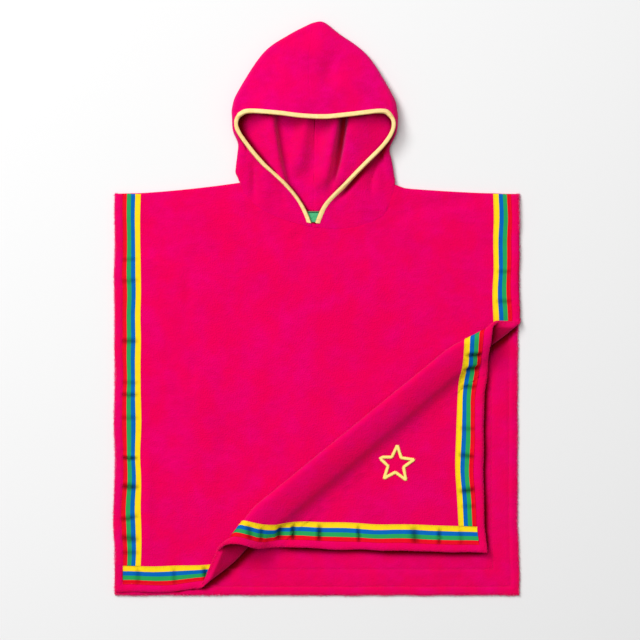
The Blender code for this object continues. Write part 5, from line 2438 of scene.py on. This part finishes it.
@dataclass
class Hood:
    """Both halves of the hood and the tape on their face edge."""

    repeats: Repeats
    tape_gap: float = 0.0004
    tape_thickness: float = 0.0009
    tape_taper: float = 0.0004
    tape_bulge: float = 0.0013
    tape_turns: int = 9
    tape_inside: float = 0.9
    tape_end: float = 0.1262
    pucker: float = 0.0002
    pucker_size: float = 0.009
    rim_slope: float = 0.15
    rim_reach: Pair = (0.40, 0.3)
    left: HoodHalf = field(
        default_factory=lambda: HoodHalf("hood_half_left", "hood_left", HOOD_LEFT, -1))
    right: HoodHalf = field(
        default_factory=lambda: HoodHalf("hood_half_right", "hood_right", HOOD_RIGHT, 1))

    def build(self) -> list[Piece]:
        """Make the hood.

        Returns:
            Its halves and its tape.
        """
        *left_form, left = self.left.build()
        *right_form, right = self.right.build()
        tape = self._tape(left_form, right_form)
        columns = left_form[0].shape[1]
        fuzz = [self.repeats.grow_pile(f"{half.name}_fuzz", half.data, self._rim(half.data, columns),
                                       Finish.LIT_PINK_FUZZ, "terry", **FUZZ, Seed=seed)
                for seed, half in enumerate((left, right), 24)]
        return [left, right, tape]

    def _rim(self, mesh: Mesh, columns: int) -> Array:
        """Fuzz stands where the outer skin turns over the hood's sides.

        Args:
            mesh: one half of the hood.
            columns: how many points each of its rows has.

        Returns:
            A weight for each of the mesh's points.
        """
        normals = np.zeros(len(mesh.vertices) * 3)
        mesh.vertices.foreach_get("normal", normals)
        rises = normals.reshape(-1, 3)[:, 2]
        numbers = np.arange(len(rises))
        bend = numbers % columns - self.left.top_columns
        outer = (numbers < len(rises) // 2) & (bend > 0) & (bend < 2 * self.left.fold_columns)
        reach, over = self.rim_reach
        return smooth((reach - np.abs(rises - self.rim_slope)) / over) * outer

    def _profile(self, points: Array, normals: Array, bulge: float) -> Array:
        """Closed section of the tape, folded over the face edge.

        Args:
            points: points of the hood's middle surface from its face edge inwards.
            normals: the outward normals there.
            bulge: extra thickness where the tape puckers.

        Returns:
            The section's points.
        """
        near = TERRY / 2 + self.tape_gap
        edge = points[0] - points[1]
        edge = edge / np.linalg.norm(edge)
        legs = len(points)
        fall = np.array([self.tape_thickness + bulge - self.tape_taper * max(0, i - legs + 3)
                         for i in range(legs)])
        above = [p + n * (near + f) for p, n, f in zip(points, normals, fall)][::-1]
        below = [p - n * (near + f) for p, n, f in zip(points, normals, fall)]
        far = near + self.tape_thickness + bulge
        turn = [points[0] + normals[0] * far * math.sin(angle)
                + edge * (self.tape_bulge + bulge) * math.cos(angle)
                for angle in steps(math.pi / 2, -math.pi / 2, self.tape_turns)[1:-1]]
        inside = [p - n * near for p, n in zip(points, normals)][::-1]
        inside += [points[0] + edge * self.tape_gap + normals[0] * near * side
                   for side in (-self.tape_inside, self.tape_inside)]
        inside += [p + n * near for p, n in zip(points, normals)]
        return np.array(above + turn + below + inside)

    def _tape(self, left: Sequence[Array], right: Sequence[Array]) -> Piece:
        """The tape round the whole face edge, from the neck up over the crown and down again.

        Args:
            left: the left half's middle surface and its normals.
            right: the right half's.

        Returns:
            The piece.
        """
        points, normals = (self._joined(*halves) for halves in zip(left, right))
        gaps = np.linalg.norm(np.diff(points[:, 0], axis=0), axis=1)
        walked = np.concatenate(([0.0], np.cumsum(gaps)))
        rings = []
        for spots, leans, run in zip(points, normals, walked):
            if spots[0][1] > self.tape_end:
                bulge = self.pucker * noise.noise(Vector((run / self.pucker_size, 0.0, 3.0)))
                rings.append(self._profile(spots, leans, bulge))
        mesh = self._tube(np.array(rings), walked)
        return add_piece("hood_tape", mesh, Finish.PALE_TAPE, "tape", "hood_binding")

    @staticmethod
    def _joined(left: Array, right: Array) -> Array:
        """Rows by the face edge from the left half's neck over the crown to the right half's neck."""
        crown = (left[-1, :TAPE_COLUMNS] + right[-1, :TAPE_COLUMNS]) / 2
        return np.concatenate((left[:-1, :TAPE_COLUMNS], [crown], right[-2::-1, :TAPE_COLUMNS]))

    @staticmethod
    def _tube(rings: Array, walked: Array) -> Mesh:
        """Skin a row of closed sections.

        Args:
            rings: the sections, point for point alike.
            walked: metres along the tube at each.

        Returns:
            The closed mesh, mapped along it and round it.
        """
        total, size = rings.shape[:2]
        faces = []
        for j in range(total - 1):
            for i in range(size):
                k = (i + 1) % size
                faces.append((j * size + i, j * size + k, (j + 1) * size + k, (j + 1) * size + i))
        faces.append(tuple(range(size))[::-1])
        faces.append(tuple((total - 1) * size + i for i in range(size)))
        mesh = bpy.data.meshes.new("hood_tape")
        mesh.from_pydata(rings.reshape(-1, 3).tolist(), [], faces)
        form = bmesh.new()
        form.from_mesh(mesh)
        bmesh.ops.recalc_face_normals(form, faces=form.faces[:])
        layer = form.loops.layers.uv.new("UVMap")
        for face in form.faces:
            for corner in face.loops:
                number = corner.vert.index
                corner[layer].uv = (walked[number // size], (number % size) / size)
        form.to_mesh(mesh)
        form.free()
        mesh.shade_smooth()
        mesh.set_sharp_from_angle(angle=SHARP)
        return mesh


# ---- Studio ----

class Lamp(NamedTuple):
    """A round soft light that points at the garment's middle."""

    name: str
    place: tuple[float, float, float]
    size: float
    power: float


@dataclass(frozen=True)
class Studio:
    """Pale floor, soft light from the upper left, and a camera straight above."""

    view_centre: Pair = (0.004455, -0.017079)
    view_width: float = 0.950496
    distance: float = 8.0
    floor_size: float = 6.0
    floor_colour: Colour = (0.780, 0.780, 0.780)
    sky: float = 0.26
    lamps: tuple[Lamp, ...] = (
        Lamp("key", (-2.75, 2.95, 4.00), 2.2, 174.0),
        Lamp("canopy", (-0.90, 1.00, 4.00), 3.4, 116.0),
    )

    def build(self) -> None:
        """Make the floor, the lights and the camera."""
        scene = bpy.context.scene
        scene.view_settings.view_transform = "Standard"
        self._floor()
        world = bpy.data.worlds.new("soft_room")
        world.use_nodes = True
        back = world.node_tree.nodes["Background"]
        back.inputs["Color"].default_value = (1.0, 1.0, 1.0, 1.0)
        back.inputs["Strength"].default_value = self.sky
        scene.world = world
        for lamp in self.lamps:
            light = bpy.data.lights.new(lamp.name, "AREA")
            light.shape = "DISK"
            light.size = lamp.size
            light.energy = lamp.power
            holder = bpy.data.objects.new(lamp.name, light)
            holder.location = lamp.place
            holder.rotation_euler = (-Vector(lamp.place)).to_track_quat("-Z", "Y").to_euler()
            scene.collection.objects.link(holder)
        camera = bpy.data.cameras.new("camera")
        camera.sensor_width = 36.0
        camera.lens = 36.0 * self.distance / self.view_width
        camera.clip_end = 40.0
        eye = bpy.data.objects.new("camera", camera)
        eye.location = (*self.view_centre, self.distance)
        scene.collection.objects.link(eye)
        scene.camera = eye

    def _floor(self) -> None:
        """The pale floor under the garment."""
        graph = ShaderGraph("pale_floor", 0.9)
        graph.feed(graph.shader.inputs["Base Color"], (*self.floor_colour, 1.0))
        half = self.floor_size / 2
        mesh = bpy.data.meshes.new("floor")
        mesh.from_pydata([(-half, -half, -0.0004), (half, -half, -0.0004), (half, half, -0.0004),
                          (-half, half, -0.0004)], [], [(0, 1, 2, 3)])
        mesh.materials.append(graph.material)
        floor = bpy.data.objects.new("floor", mesh)
        bpy.context.scene.collection.objects.link(floor)


def main() -> None:
    """Build the garment and its studio."""
    logging.basicConfig(level=logging.INFO, format="%(message)s")
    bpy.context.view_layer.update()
    Studio().build()
    repeats = Repeats()
    cloths = FrontPanel(repeats).build() + BackPanel(repeats).build() + Hood(repeats).build()
    # Paint shade into the cloths' colour where cloth closes them in.
    HollowShade().mark(cloths)


if __name__ == "__main__":
    main()
